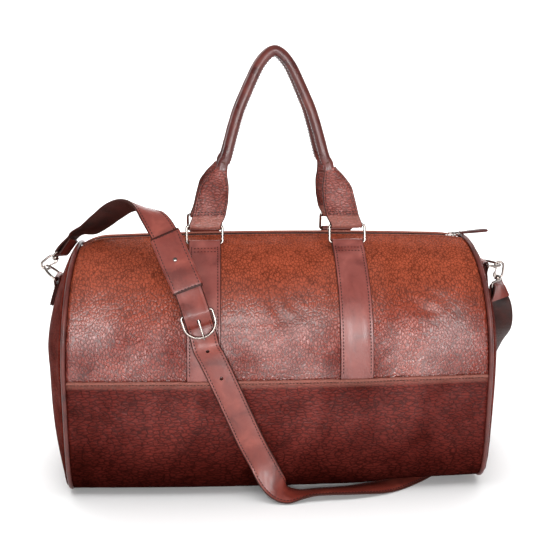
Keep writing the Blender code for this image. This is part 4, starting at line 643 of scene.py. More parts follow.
def rows_between(start, end, count):
    """Lengths from start to end, closer together where the section turns fast."""
    a = look_up(LENGTHS, MIXED, start)
    b = look_up(LENGTHS, MIXED, end)
    return [look_up(MIXED, LENGTHS, between(a, b, i / count)) for i in range(count + 1)]


def half_length_at(z):
    above = min(max((z - BELLY_HEIGHT) / (HEIGHT - BELLY_HEIGHT), 0.0), 1.0)
    below = min(max((BELLY_HEIGHT - z) / BELLY_HEIGHT, 0.0), 1.0)
    return HALF_LENGTH * (1.0 - END_LEAN_share * above**1.5 - END_TUCK_share * below**2)


def lift_at(x, z):
    start = LIFT_START_share * HALF_LENGTH
    end = LIFT_END_share * HALF_LENGTH
    rise = SHOULDER_THICKNESS + 2.0 * SHOULDER_CLEAR
    return rise * smooth((x - start) / (end - start)) * max(0.0, 1.0 - z / BELLY_HEIGHT)


def drop_at(u, z):
    """How far the top corner at an end has sunk."""
    drop = CORNER_DROPS[0] if u < 0.0 else CORNER_DROPS[1]
    t = (min(abs(u), 1.0) - CORNER_START_share) / (1.0 - CORNER_START_share)
    return drop * max(t, 0.0) ** 2 * (max(z, 0.0) / HEIGHT) ** 6


def bulged(u, y, z):
    """Place on the bag for a point of the plain section at a share u of its half length."""
    x = u * half_length_at(z)
    swell = max(1.0 - u * u, 0.0)
    y = y * (1.0 + BELLY_SWELL_share * swell)
    settled = z + TOP_ARCH * swell * (z / HEIGHT) ** 2 - drop_at(u, z)
    return Vector((x, y, settled + lift_at(x, z)))


def inset_point(s, inset, side):
    """Point of the section at a length, moved into the bag by the inset."""
    y, z = section_point(s)
    ny, nz = section_normal(s)
    return side * (y - inset * ny), z - inset * nz


def skin(u, s, inset, side):
    return bulged(u, *inset_point(s, inset, side))


def outward(s, side):
    ny, nz = section_normal(s)
    return Vector((0.0, side * ny, nz))


S_ZIP = length_at_depth(ZIP_OPENING / 2.0)
S_SEAM = length_at_height(SEAM_HEIGHT)
S_LAP = S_SEAM + SEAM_LAP
S_END = LENGTHS[-1]
PANEL_INSET = LEATHER + GAP
LINING_INSET = 2.0 * LEATHER + GAP + LINING_SLACK
END_START = PIPING_DIAMETER + 2.0 * GAP + LEATHER
END_CENTRE = HEIGHT * END_CENTRE_share
COLUMNS = [-1.0 + 2.0 * i / SKIN_COLUMNS for i in range(SKIN_COLUMNS + 1)]


# Relief: soft dents, folds and puckers, and the turned edges


def strap_window(u, spread=STRAP_EASE):
    """1 under or beside a body strap's place across the bag, 0 further away."""
    away = abs(abs(u) * half_length_at(HEIGHT) - STRAP_OFFSET) - STRAP_WIDTH / 2.0
    return 1.0 - smooth(away / spread)


def crease_depth(x, z):
    """Depth of the folds that the front has taken, each a groove along a short line."""
    depth = 0.0
    for x0, z0, x1, z1, width, deep in CREASES:
        way = Vector((x1 - x0, z1 - z0))
        here = Vector((x - x0, z - z0))
        t = min(max(here.dot(way) / way.length_squared, 0.0), 1.0)
        away = (here - way * t).length
        fade = smooth(t / CREASE_FADE_share) * smooth((1.0 - t) / CREASE_FADE_share)
        groove = math.exp(-((away / width) ** 2))
        swell = math.exp(-(((away - CREASE_SWELL_PLACE * width) / width) ** 2))
        depth += deep * fade * (groove - CREASE_SWELL_share * swell)
    return depth


def relief(u, s, side, start, end):
    """How far the leather has sunk here, calm at the seams at start and end."""
    x = u * HALF_LENGTH
    rim = (1.0 - abs(u)) * HALF_LENGTH
    calm = smooth((s - start) / CALM) * smooth((end - s) / CALM) * smooth(rim / CALM)
    seed = SEED + side
    broad = noise.noise(Vector((x / BROAD_DENT, s / BROAD_DENT, seed)))
    twist = noise.noise(Vector((x / BROAD_DENT, s / BROAD_DENT, seed + 7.0)))
    fold = noise.noise(Vector(((x + 0.6 * s * twist) / FOLD_LONG, s / FOLD_SHORT, seed + 3.0)))
    small = noise.noise(Vector((x / SMALL_DENT, s / SMALL_DENT, seed + 5.0)))
    depth = BROAD_DEPTH * (0.5 + broad) + FOLD_DEPTH * (1.0 - abs(fold)) ** 4
    depth += SMALL_DEPTH * small
    ripple = math.sin(s / PUCKER_PITCH * 2.0 * math.pi + 5.0 * twist)
    pucker = PUCKER_DEPTH * (0.5 + 0.5 * ripple) * math.exp(-rim / PUCKER_REACH)
    if side < 0.0:
        depth += crease_depth(x, section_point(s)[1])
    return calm * depth * (1.0 - 0.8 * strap_window(u)) + pucker


def hem(d):
    """Height of a turned and stitched edge at a distance d from its fold."""
    turn = -HEM_TURN * (1.0 - smooth(d / HEM_TURN))
    swell = HEM_RISE * math.sin(math.pi * min(d / HEM_STITCH, 1.0))
    valley = -HEM_RISE * math.exp(-(((d - HEM_STITCH) / (0.25 * HEM_STITCH)) ** 2))
    return turn + swell + valley


HEM_ROWS = [HEM_STITCH * share for share in (0.0, 0.12, 0.3, 0.5, 0.7, 0.85, 1.0, 1.15, 1.4, 1.8)]


def grid_faces(rows, columns, closed=False):
    faces = []
    for i in range(rows - 1):
        for j in range(columns if closed else columns - 1):
            a = i * columns + j
            b = i * columns + (j + 1) % columns
            faces.append((a, b, b + columns, a + columns))
    return faces


# Pieces: points and faces are gathered in a Shape, then made into one object


class Shape:
    """Points and faces of one piece, each face with the number of its material."""

    def __init__(self):
        self.points = []
        self.faces = []
        self.kinds = []

    def add(self, points, faces, kind=0):
        first = len(self.points)
        self.points += [Vector(p) for p in points]
        self.faces += [tuple(first + k for k in face) for face in faces]
        self.kinds += [kind] * len(faces) if isinstance(kind, int) else list(kind)

    def loft(self, rings, closed=False, kinds=None, matrix=None):
        """Skin through rings of points; kinds gives each side of the ring its material."""
        sides = len(rings[0])
        count = len(rings)
        kinds = kinds or [0] * sides
        faces = []
        used = []
        for i in range(count if closed else count - 1):
            for k in range(sides):
                a, b = i * sides + k, i * sides + (k + 1) % sides
                shift = ((i + 1) % count) * sides - i * sides
                faces.append((a, b, b + shift, a + shift))
                used.append(kinds[k])
        if not closed:
            faces.append(tuple(reversed(range(sides))))
            faces.append(tuple(range((count - 1) * sides, count * sides)))
            used += [kinds[0], kinds[0]]
        points = [p for ring in rings for p in ring]
        if matrix is not None:
            points = [matrix @ Vector(p) for p in points]
        self.add(points, faces, used)

    def tube(self, path, radius, normal, closed=False, sides=14, round_ends=False):
        """Tube along a flat path; radius may be one number or one for each point."""
        path = [Vector(p) for p in path]
        radii = [radius] * len(path) if isinstance(radius, float) else list(radius)
        if round_ends:
            path, radii = rounded_ends(path, radii)
        count = len(path)
        normal = Vector(normal).normalized()
        rings = []
        for i, place in enumerate(path):
            ahead = path[(i + 1) % count] if closed or i < count - 1 else path[i]
            behind = path[i - 1] if closed or i > 0 else path[i]
            way = (ahead - behind).normalized()
            other = way.cross(normal).normalized()
            lift = other.cross(way)
            r = radii[i]
            rings.append([place + r * c * other + r * s * lift for c, s in circle(sides)])
        self.loft(rings, closed)

    def lathe(self, profile):
        """Turned piece: (radius, height) pairs, closed over the axis at both ends."""
        rings = []
        for radius, height in profile:
            rings.append([(radius * c, radius * s, height) for c, s in circle(LATHE_SIDES)])
        self.loft(rings)

    def plate(self, outline, low, high, edge, matrix=None):
        """Flat outline in X and Y with eased edges, from low to high in Z."""
        cx = sum(p[0] for p in outline) / len(outline)
        cy = sum(p[1] for p in outline) / len(outline)
        size = max(math.hypot(x - cx, y - cy) for x, y in outline)
        rings = []
        for angle in quarter_turn(EDGE_STEPS):
            rings.append((edge * (1.0 - math.sin(angle)), low + edge * (1.0 - math.cos(angle))))
        for angle in quarter_turn(EDGE_STEPS):
            rings.append((edge * (1.0 - math.cos(angle)), high - edge * (1.0 - math.sin(angle))))
        solid = []
        for inset, z in rings:
            scale = 1.0 - inset / size
            solid.append([(cx + (x - cx) * scale, cy + (y - cy) * scale, z) for x, y in outline])
        self.loft(solid, matrix=matrix)

    def make(self, name, body, materials, slot, nodes=(), matrix=None, sharp=60.0, shell=None):
        mesh = outward_mesh(name, self.points, self.faces, self.kinds)
        mesh.shade_smooth()
        mesh.set_sharp_from_angle(angle=math.radians(sharp))
        for material in materials:
            mesh.materials.append(material)
        obj = linked(name, mesh)
        if matrix is not None:
            obj.matrix_world = matrix
        if shell is not None:
            add_shell(obj, shell)
        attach(obj, body)
        if nodes:
            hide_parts(*nodes)
        return obj


def rounded_ends(path, radii):
    """The path with a few more points at each end, where the tube closes to a dome."""
    angles = quarter_turn(EDGE_STEPS)[:-1]
    for _ in range(2):
        way = (path[0] - path[1]).normalized()
        start, r = path[0], radii[0]
        path = [start + way * r * math.cos(a) for a in angles] + path
        radii = [max(r * math.sin(a), r * 0.02) for a in angles] + radii
        path, radii = path[::-1], radii[::-1]
    return path, radii


def add_shell(obj, thickness):
    """Thickness behind an open surface that faces away from the bag's middle."""
    mesh = obj.data
    middle = Vector((0.0, 0.0, HEIGHT / 2.0))
    if sum(f.normal.dot(f.center - middle) * f.area for f in mesh.polygons) < 0.0:
        mesh.flip_normals()
    shell = obj.modifiers.new("thickness", "SOLIDIFY")
    shell.thickness = thickness
    shell.offset = -1.0


def rounded_rectangle(half_width, half_height, corner, steps=8):
    """Closed path in X and Z, centred on the origin."""
    path = []
    for turn, (sx, sz) in enumerate(((1, 1), (-1, 1), (-1, -1), (1, -1))):
        cx = sx * (half_width - corner)
        cz = sz * (half_height - corner)
        for i in range(steps + 1):
            angle = math.pi / 2.0 * (turn + i / steps)
            path.append((cx + corner * math.cos(angle), 0.0, cz + corner * math.sin(angle)))
    return path


def make_wire(name, node, body, path, wire, normal, sides, place, metal):
    """A closed wire along a flat path, as one metal piece."""
    shape = Shape()
    shape.tube(path, wire / 2.0, normal, closed=True, sides=sides)
    shape.make(name, body, [metal], "nickel", [node], place)


def eased(outline, turns=2):
    """Closed outline with its corners cut, then cut again."""
    for _ in range(turns):
        cut = []
        for i, (x, y) in enumerate(outline):
            nx, ny = outline[(i + 1) % len(outline)]
            cut.append((between(x, nx, 0.25), between(y, ny, 0.25)))
            cut.append((between(x, nx, 0.75), between(y, ny, 0.75)))
        outline = cut
    return outline


class Thread(Shape):
    """Rows of stitches: each one a small bent bead of thread that dips into the leather."""

    def row(self, line, pitch=STITCH_PITCH, radius=THREAD / 2.0):
        """Line holds (place, outwards) pairs."""
        lengths = run_lengths(line)
        for i in range(int(lengths[-1] / pitch)):
            start = (i + STITCH_GAP_share / 2.0) * pitch
            rings = []
            for share, dip, size in STITCH_SHAPE:
                at = start + share * pitch * (1.0 - STITCH_GAP_share)
                place, out = at_length(line, lengths, at)
                ahead, _ = at_length(line, lengths, at + pitch * 0.05)
                way = (ahead - place).normalized()
                side = way.cross(out).normalized()
                centre = place + out * radius * dip
                wide, high = side * (radius * size), out * (radius * size)
                rings.append([centre + wide * c + high * s for c, s in circle(THREAD_SIDES)])
            self.loft(rings)


def at_length(line, lengths, length):
    i, t = step_of(lengths, length)
    place = line[i - 1][0].lerp(line[i][0], t)
    return place, line[i - 1][1].lerp(line[i][1], t).normalized()


# Ribbons: straps with rounded, painted edges and a groove for each row of stitches


def strap_profile(width, thickness, inset):
    """(across, outwards, painted) once round the strap, from its lower right edge."""
    half = width / 2.0
    r = thickness / 2.0
    ring = []
    steps = 6
    for i in range(steps + 1):
        angle = -math.pi / 2.0 + math.pi * i / steps
        ring.append((half - r + r * math.cos(angle), r * math.sin(angle), i < steps))
    line = half - inset
    groove = [(line + GROOVE_WIDTH, 0.0), (line, 1.0), (line - GROOVE_WIDTH, 0.0)]
    groove.append((half * 0.25, -0.5))
    groove += [(-a, deep) for a, deep in groove[::-1]]
    for across, deep in groove:
        ring.append((across, r - GROOVE_DEPTH * deep, False))
    for i in range(steps + 1):
        angle = math.pi / 2.0 + math.pi * i / steps
        ring.append((-half + r + r * math.cos(angle), r * math.sin(angle), i < steps))
    return ring


def ribbon(shape, stations, thickness, inset=STITCH_INSET, under=0):
    rings = []
    kinds = None
    for left, right, out in stations:
        across = right - left
        width = across.length
        across = across.normalized()
        out = (out - across * out.dot(across)).normalized()
        middle = (left + right) / 2.0
        profile = strap_profile(width, thickness, inset)
        kinds = kinds or [1 if painted else 0 for _, _, painted in profile[:-1]] + [under]
        rings.append([middle + across * a + out * h for a, h, _ in profile])
    shape.loft(rings, kinds=kinds)


def edge_rows(stations, thickness, inset=STITCH_INSET):
    """The two lines on which a ribbon's stitches lie."""
    rows = ([], [])
    for left, right, out in stations:
        across = (right - left).normalized()
        lift = out.normalized() * (thickness / 2.0 - GROOVE_DEPTH * 0.6)
        rows[0].append((left + across * inset + lift, out))
        rows[1].append((right - across * inset + lift, out))
    return rows


def cross_row(station, thickness, margin=STITCH_INSET):
    left, right, out = station
    across = (right - left).normalized()
    lift = out.normalized() * (thickness / 2.0)
    return [(left + across * margin + lift, out), (right - across * margin + lift, out)]


def turned_over(station):
    left, right, out = station
    return left, right, -out


def centred(place, across, out, width):
    half = across.normalized() * width / 2.0
    return place - half, place + half, out


def bar_fold(centre, along, across, out, inner, thickness, width, steps=20):
    """Half turn round a bar from the inner side to the outer; along points to the strap."""
    radius = inner + thickness / 2.0
    stations = []
    for i in range(steps + 1):
        angle = math.pi * i / steps
        way = -out * math.cos(angle) - along * math.sin(angle)
        stations.append(centred(centre + way * radius, across, way, width))
    return stations


# The bag's body


def make_sheet(name, node, points, faces, finish, slot, thickness):
    shape = Shape()
    shape.add(points, faces)
    shape.make(name, "bag", [finish], slot, [node], shell=thickness)


def make_panel(name, node, side, finish):
    rows = [S_ZIP + d for d in HEM_ROWS]
    rows += rows_between(rows[-1] + HEM_STITCH, S_SEAM, TOP_ROWS) + [S_LAP]
    points = []
    for s in rows:
        edge = hem(s - S_ZIP) if s - S_ZIP < 2.0 * HEM_STITCH else 0.0
        for u in COLUMNS:
            sunk = relief(u, s, side, S_ZIP + HEM_STITCH, S_LAP + CALM)
            points.append(skin(u, s, PANEL_INSET + sunk - edge, side))
    faces = grid_faces(len(rows), len(COLUMNS))
    make_sheet(name, node, points, faces, finish, "bag_leather", LEATHER)


def wrap_height(u, s):
    """How far the base wrap stands out: its turned edge, and where it passes over a strap."""
    d = s - S_SEAM
    edge = hem(d) if d < 2.0 * HEM_STITCH else 0.0
    beside = strap_window(u, STRAP_EASE * 1.5) * (1.0 - smooth(d / TUCK_REACH))
    return edge + (STRAP_THICKNESS + GAP) * beside


def there_and_back(rows):
    """The rows down the back, and up again on the front, with the side of each."""
    return [(s, 1.0) for s in rows] + [(s, -1.0) for s in reversed(rows[:-1])]


def make_base(finish):
    rows = [S_SEAM + d for d in HEM_ROWS]
    rows += rows_between(rows[-1] + HEM_STITCH, S_END, BASE_ROWS)
    around = there_and_back(rows)
    points = []
    for s, side in around:
        foot = smooth((section_point(s)[1] - BASE_CALM) / BASE_CALM)
        for u in COLUMNS:
            sunk = relief(u, s, side, S_SEAM + HEM_STITCH, S_END) * foot * BASE_SOFT_share
            points.append(skin(u, s, sunk - wrap_height(u, s), side))
    faces = grid_faces(len(around), len(COLUMNS))
    make_sheet("base_skin", "base_wrap", points, faces, finish, "base_leather", LEATHER)


def end_outline(inset, count):
    down = rows_between(0.0, S_END, count)
    around = [(s, 1.0) for s in down] + [(s, -1.0) for s in reversed(down[1:-1])]
    return [inset_point(s, inset, side) for s, side in around]


def settled_at_end(end, x, y, z):
    return Vector((x, y, z + lift_at(x, z) - drop_at(end, z)))


def make_piping(end, name, finish):
    radius = PIPING_DIAMETER / 2.0
    path = []
    for y, z in end_outline(PIPING_SINK, END_ROWS * 2):
        z = max(z, radius)
        x = end * (half_length_at(z) + GAP + radius)
        path.append(settled_at_end(end, x, y, z))
    shape = Shape()
    shape.tube(path, radius, ACROSS, closed=True, sides=16)
    shape.make("piping_cord_" + name, "bag", [finish], "piping", ["piping_" + name])


def dome_point(end, y, z, share):
    """Point of an end panel; share is 1 at the piping and 0 at the middle."""
    x = end * (half_length_at(z) + END_START + END_DOME * (1.0 - share**END_DOME_POWER))
    return settled_at_end(end, x, y, z)


def make_end(end, name, finish):
    outline = end_outline(PIPING_SINK + LEATHER, END_ROWS)
    points = []
    for i in range(DOME_RINGS):
        share = 1.0 - (i / DOME_RINGS) ** DOME_SPREAD
        for y, z in outline:
            z = END_CENTRE + share * (z - END_CENTRE)
            place = dome_point(end, share * y, z, share)
            past_tab = (abs(place.y) - D_TAB_WIDTH * 0.4) / END_TAB_EASE
            past_tab += (END_CENTRE - z) / END_TAB_REACH
            calm = smooth((1.0 - share) / END_CALM_share) * smooth(past_tab)
            dent = 0.5 + noise.noise(Vector((place.y, place.z, SEED + end)) / BROAD_DENT)
            pucker = 0.5 + 0.5 * math.sin(math.atan2(y, z - END_CENTRE) * END_PUCKERS)
            edge = math.exp(-((1.0 - share) / END_PUCKER_share)) * PUCKER_DEPTH * pucker
            place.x -= end * (calm * END_DENT * BROAD_DEPTH * dent + edge)
            points.append(place)
    count = len(outline)
    points.append(dome_point(end, 0.0, END_CENTRE, 0.0))
    faces = grid_faces(DOME_RINGS, count, closed=True)
    last = (DOME_RINGS - 1) * count
    faces += [(last + k, last + (k + 1) % count, last + count) for k in range(count)]
    node = "end_panel_" + name
    make_sheet("end_skin_" + name, node, points, faces, finish, "bag_leather", LEATHER)


def make_lining(finish):
    down = rows_between(length_at_depth(LINING_OPENING / 2.0), S_END, LINING_ROWS)
    around = there_and_back(down)
    rings = []
    for i in range(LINING_COLUMNS + 1):
        u = LINING_REACH_share * (-1.0 + 2.0 * i / LINING_COLUMNS)
        rings.append([skin(u, s, LINING_INSET, side) for s, side in around])
    first, last = rings[0], rings[-1]
    for share in LINING_DOME_shares:
        dome = LINING_DOME * (1.0 - share * share)
        for end, ring in ((-1.0, first), (1.0, last)):
            inner = []
            for x, y, z in ring:
                inner.append((x + end * dome, share * y, END_CENTRE + share * (z - END_CENTRE)))
            rings = [inner] + rings if end < 0.0 else rings + [inner]
    points = [p for ring in rings for p in ring]
    faces = grid_faces(len(rings), len(around))
    make_sheet("lining_cloth", "lining", points, faces, finish, "lining_fabric", LINING)


# Zip


def chain_level():
    return HEIGHT - CHAIN_DEPTH


def chain_end(end):
    share = CHAIN_ENDS_shares[0] if end < 0.0 else CHAIN_ENDS_shares[1]
    return end * share * half_length_at(HEIGHT)


def tape_start():
    return TOOTH_PARTING / 2.0 + TOOTH_REACH + TOOTH_RAIL + GAP


def tape_seat(u, y, side):
    s = length_at_depth(y)
    return skin(u, s, PANEL_INSET + LEATHER + 2.5 * GAP + TAPE_THICKNESS / 2.0, side)


def make_tape(name, side, finish):
    half = TAPE_THICKNESS / 2.0
    sections = []
    for i in range(TAPE_COLUMNS + 1):
        u = between(*TAPE_ENDS_shares, i / TAPE_COLUMNS)
        seat = tape_seat(u, ZIP_OPENING / 2.0, side)
        far = tape_seat(u, tape_start() + TAPE_WIDTH, side)
        low = min(chain_level(), seat.z)
        inner = Vector((seat.x, side * tape_start(), low))
        middle = [inner, inner.lerp(seat, 0.35) + Vector((0.0, 0.0, -half * 0.3)), seat, far]
        ring = [p + Vector((0.0, 0.0, -half)) for p in middle]
        ring += [p + Vector((0.0, 0.0, half)) for p in reversed(middle)]
        sections.append(ring)
    shape = Shape()
    shape.loft(sections)
    node = "zip_tape_" + name
    shape.make("tape_" + name, "bag", [finish], "zip_tape", [node], sharp=35.0)


def make_teeth(name, side, phase, metal):
    first = chain_end(-1.0) + STOP_LENGTH + GAP
    last = chain_end(1.0) - STOP_LENGTH - GAP
    count = int((last - first) / TOOTH_PITCH)
    tip = TOOTH_PARTING * 0.34
    root = tape_start() + TOOTH_RAIL * 0.6
    half = TOOTH_PITCH * 0.27
    high = TOOTH_HEIGHT * 0.42
    level = chain_level()
    shape = Shape()
    for i in range(count):
        x = first + (i + 0.5 + phase) * TOOTH_PITCH
        outline = [(-half, root), (-half, tip + half), (-half * 0.6, tip)]
        outline += [(-px, py) for px, py in reversed(outline)]
        outline = [(x + px, side * py) for px, py in outline]
        shape.plate(outline, level - high, level + high, TOOTH_RAIL * 0.3)
    shape.make("chain_" + name, "bag", [metal], "nickel", ["zip_teeth_" + name])


def make_stop(name, end, metal):
    outer = chain_end(end)
    inner = outer - end * STOP_LENGTH
    wide = STOP_WIDTH / 2.0
    outline = [(inner, -wide), (outer, -wide), (outer, wide), (inner, wide)]
    half = TOOTH_HEIGHT / 2.0
    shape = Shape()
    shape.plate(eased(outline, 1), chain_level() - half, chain_level() + half, STOP_LENGTH * 0.2)
    shape.make("stop_" + name, "bag", [metal], "nickel", ["zip_stop_" + name])


def slider_frame():
    centre = chain_end(1.0) - STOP_LENGTH - GAP - SLIDER_LENGTH / 2.0
    return Matrix.Translation((centre, 0.0, chain_level()))


def make_slider(metal):
    half = SLIDER_LENGTH / 2.0
    waist = half * 0.35
    nose, wide = SLIDER_NOSE / 2.0, SLIDER_WIDTH / 2.0
    right = [(half, nose), (waist, wide), (-waist, wide), (-half, nose)]
    outline = eased(right + [(x, -y) for x, y in reversed(right)])
    inner = TOOTH_HEIGHT / 2.0 + 3.0 * GAP
    outer = inner + SLIDER_PLATE
    shape = Shape()
    shape.plate(outline, inner, outer, SLIDER_PLATE * 0.35)
    shape.plate(outline, -outer, -inner, SLIDER_PLATE * 0.35)
    web = SLIDER_WEB / 2.0
    near, far = half - SLIDER_WEB_LENGTH - GAP, half - GAP
    low = -outer + SLIDER_PLATE / 2.0
    shape.plate([(near, -web), (far, -web), (far, web), (near, web)], low, -low, web * 0.3)
    half = BAIL_LENGTH / 2.0
    top = outer + BAIL_HEIGHT - BAIL_WIRE / 2.0
    foot = outer - SLIDER_PLATE * 0.6
    mid = outer + BAIL_HEIGHT * 0.4
    path = [(-half, 0.0, foot), (-half, 0.0, mid)]
    path += [(-half * 0.9, 0.0, between(mid, top, 0.6)), (-half * 0.62, 0.0, top)]
    path += [(-x, y, z) for x, y, z in reversed(path)]
    shape.tube(path, BAIL_WIRE / 2.0, BACKWARDS)
    place = slider_frame()
    shape.make("slider", "zip_slider", [metal], "nickel", ["zip_slider"], place, sharp=50.0)


def pull_frame():
    outer = TOOTH_HEIGHT / 2.0 + 3.0 * GAP + SLIDER_PLATE
    drop = outer + BAIL_HEIGHT - BAIL_WIRE - GAP - LINK_WIRE / 2.0
    place = slider_frame() @ Matrix.Translation((BAIL_LENGTH * 0.5 * 0.35, 0.0, drop))
    return place @ Matrix.Rotation(math.radians(-PULL_RISE_DEG), 4, "Y")


def make_link(metal):
    half = (LINK_LENGTH - LINK_WIRE) / 2.0
    outline = rounded_rectangle(half, LINK_WIDTH / 2.0, LINK_WIRE * 0.9)
    path = [(x + half, z, 0.0) for x, _, z in outline]
    make_wire("link", "zip_link", "zip_link", path, LINK_WIRE, UP, 14, pull_frame(), metal)


def make_pull(finish, edge, thread):
    knuckle = LINK_WIDTH / 2.0 - LINK_WIRE * 0.9 - GAP
    clear = LINK_WIRE / 2.0 + 2.0 * GAP + LINK_WIRE * 0.3
    end = PULL_LENGTH
    side = [(clear * 0.4, knuckle * 0.98), (clear, knuckle * 0.98)]
    side += [(clear + PULL_ROOT * 0.3, PULL_ROOT / 2.0)]
    side += [(end * 0.45, PULL_WIDTH * 0.40), (end - PULL_WIDTH * 0.35, PULL_WIDTH / 2.0)]
    side += [(end - PULL_WIDTH * 0.1, PULL_WIDTH * 0.42), (end, PULL_WIDTH * 0.24)]
    outline = eased(side + [(x, -y) for x, y in reversed(side)])
    half = PULL_THICKNESS / 2.0
    place = pull_frame() @ Matrix.Translation((LINK_LENGTH - LINK_WIRE, 0.0, 0.0))
    shape = Shape()
    shape.plate(outline, -half, half, half * 0.8)
    bar = [(0.0, -knuckle, 0.0), (0.0, knuckle, 0.0)]
    shape.tube(bar, PULL_KNUCKLE / 2.0, UP, sides=24)
    shape.make("pull", "zip_pull_tab", [finish, edge], "pull_leather", ["zip_pull_tab"], place)
    line = []
    for x, y in outline[2:-2]:
        if x > PULL_ROOT * 0.9:
            line.append((Vector((between(end * 0.55, x, 0.93), y * 0.78, half * 0.92)), UP))
    rows = Thread()
    rows.row(line, STITCH_PITCH * 0.7, THREAD * 0.42)
    rows.make("pull_stitches", "zip_pull_tab", [thread], "pull_leather", matrix=place)


# Straps on the body, rings and handles


def joint_place(name):
    return Vector(next(j["pos_m"] for j in frame["joints"] if j["name"] == name))


def ring_frame(side, hand):
    where = "front" if side < 0.0 else "back"
    low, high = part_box("ring_" + where + ("_right" if hand > 0.0 else "_left"))
    bar = joint_place("rings_" + where + "_turn")
    place = Matrix.Translation(((low.x + high.x) / 2.0, bar.y, bar.z))
    return place @ Matrix.Rotation(side * math.radians(RING_LEAN_DEG), 4, "X")


def handle_frame(side):
    bar = joint_place("handle_" + ("front" if side < 0.0 else "back") + "_turn")
    lean = Matrix.Rotation(side * math.radians(HANDLE_LEAN_DEG), 4, "X")
    return Matrix.Translation((0.0, bar.y, bar.z)) @ lean


def make_body_strap(name, side, hand, finishes, thread):
    s_bar = length_at_depth(RING_FOOT_DEPTH_share * HALF_DEPTH)
    u_mid = hand * STRAP_OFFSET / half_length_at(HEIGHT)
    half = STRAP_WIDTH / 2.0 / half_length_at(HEIGHT)
    centre = ring_frame(side, hand).translation
    across = Vector((hand, 0.0, 0.0))
    out = outward(s_bar, side)
    along = Vector((0.0, side * out.z, -side * out.y))
    fold = RING_WIRE / 2.0 + BAR_PLAY + STRAP_THICKNESS / 2.0
    seat = (centre - skin(u_mid, s_bar, 0.0, side)).dot(out) - fold
    low = -LEATHER + STRAP_THICKNESS / 2.0
    high = low + STRAP_THICKNESS + GAP
    top = seat + 2.0 * fold
    drop = STRAP_FOLD * 0.45
    tail_end = s_bar + STRAP_FOLD
    finish_end = S_SEAM + TUCK_REACH * 0.7

    def over(s, height):
        a = skin(u_mid - hand * half, s, -height, side)
        b = skin(u_mid + hand * half, s, -height, side)
        return a, b, outward(s, side)

    def outer_height(s):
        if s < s_bar + drop:
            return between(top, high, smooth((s - s_bar) / drop))
        return between(high, low, smooth((s - tail_end) / STRAP_RAMP))

    steps = 12
    stations = []
    for i in range(steps):
        s = between(tail_end, s_bar, i / steps)
        stations.append(turned_over(over(s, between(seat, low, smooth((s - s_bar) / drop)))))
    inner = fold - STRAP_THICKNESS / 2.0
    stations += bar_fold(centre, along, across, out, inner, STRAP_THICKNESS, STRAP_WIDTH)
    first = len(stations)
    run = rows_between(s_bar + drop * 0.08, tail_end + STRAP_RAMP, 24)
    run += rows_between(tail_end + STRAP_RAMP, finish_end, STRAP_ROWS)[1:]
    stations += [over(s, outer_height(s)) for s in run]
    shape = Shape()
    ribbon(shape, stations, STRAP_THICKNESS)
    shape.make("strap_" + name, "bag", finishes, "strap_leather", ["body_strap_" + name])
    shown = [st for st, s in zip(stations[first:], run) if s_bar + drop * 0.7 < s < S_SEAM]
    for line in edge_rows(shown, STRAP_THICKNESS):
        thread.row(line)
    for s in (s_bar + drop * 1.15, tail_end - STITCH_PITCH):
        thread.row(cross_row(over(s, outer_height(s)), STRAP_THICKNESS, STITCH_INSET * 1.4))


def make_ring(name, side, hand, metal):
    half = (RING_INNER_WIDTH + RING_WIRE) / 2.0
    path = []
    for x, y, z in rounded_rectangle(half, RING_BAR_SPACING / 2.0, RING_CORNER):
        path.append((x, y, z + RING_BAR_SPACING / 2.0))
    body, node = "rings_" + name.split("_")[0], "ring_" + name
    place = ring_frame(side, hand)
    make_wire("wire_" + node, node, body, path, RING_WIRE, BACKWARDS, 18, place, metal)


def smoothed_path(shares, steps):
    """Catmull-Rom curve through points in the handle's plane."""
    points = [Vector((x * STRAP_OFFSET, 0.0, h * HANDLE_RISE)) for x, h in shares]
    pairs = [(p, BACKWARDS) for p in points]
    return [p for p, _ in curve_through(pairs, steps)]


def handle_path():
    right = (HANDLE_FOOT_share,) + HANDLE_PATH_shares
    left = tuple((-x, h) for x, h in reversed(right[:-1]))
    return smoothed_path(right + left, 5)


def make_roll(name, side, finish, thread):
    path = handle_path()
    count = len(path)
    lengths = run_lengths([(place,) for place in path])
    outer = HANDLE_DIAMETER / 2.0
    rings = []
    seam = []
    sides = 28
    for i, place in enumerate(path):
        way = (path[min(i + 1, count - 1)] - path[max(i - 1, 0)]).normalized()
        inwards = way.cross(BACKWARDS).normalized()
        near = min(lengths[i], lengths[-1] - lengths[i])
        round_share = smooth(near / ROLL_BLEND)
        thick = between(TAB_THICKNESS * 1.35, outer, round_share)
        wobble = 1.0 + 0.02 * noise.noise(Vector((lengths[i] / 0.012, side, SEED)))
        ring = []
        for k, (c, s) in enumerate(circle(sides)):
            near_seam = 2.0 * math.pi * min(k, sides - k) / sides
            groove = ROLL_GROOVE * math.exp(-((near_seam / 0.16) ** 2))
            reach = (outer - groove) * wobble
            ring.append(place + inwards * reach * c + BACKWARDS * (thick * (reach / outer) * s))
        rings.append(ring)
        seam.append((place + inwards * (outer - ROLL_GROOVE * 0.55), inwards))
    shape = Shape()
    shape.loft(rings)
    body = "handle_" + name
    node = "handle_roll_" + name
    place = handle_frame(side)
    shape.make("roll_" + name, body, [finish], "handle_leather", [node], place, sharp=80.0)
    rows = Thread()
    rows.row(seam[4:-4])
    rows.make("roll_stitches_" + name, body, [thread], "handle_leather", matrix=place)


def make_core(name, side, finish):
    path = smoothed_path(HANDLE_PATH_shares, 3)
    path += [Vector((-p.x, 0.0, p.z)) for p in reversed(path[:-1])]
    shape = Shape()
    shape.tube(path, HANDLE_DIAMETER / 2.0 - HANDLE_LEATHER - GAP, BACKWARDS, sides=12)
    body, node = "handle_" + name, "handle_core_" + name
    shape.make("core_" + name, body, [finish], "cord_core", [node], handle_frame(side))


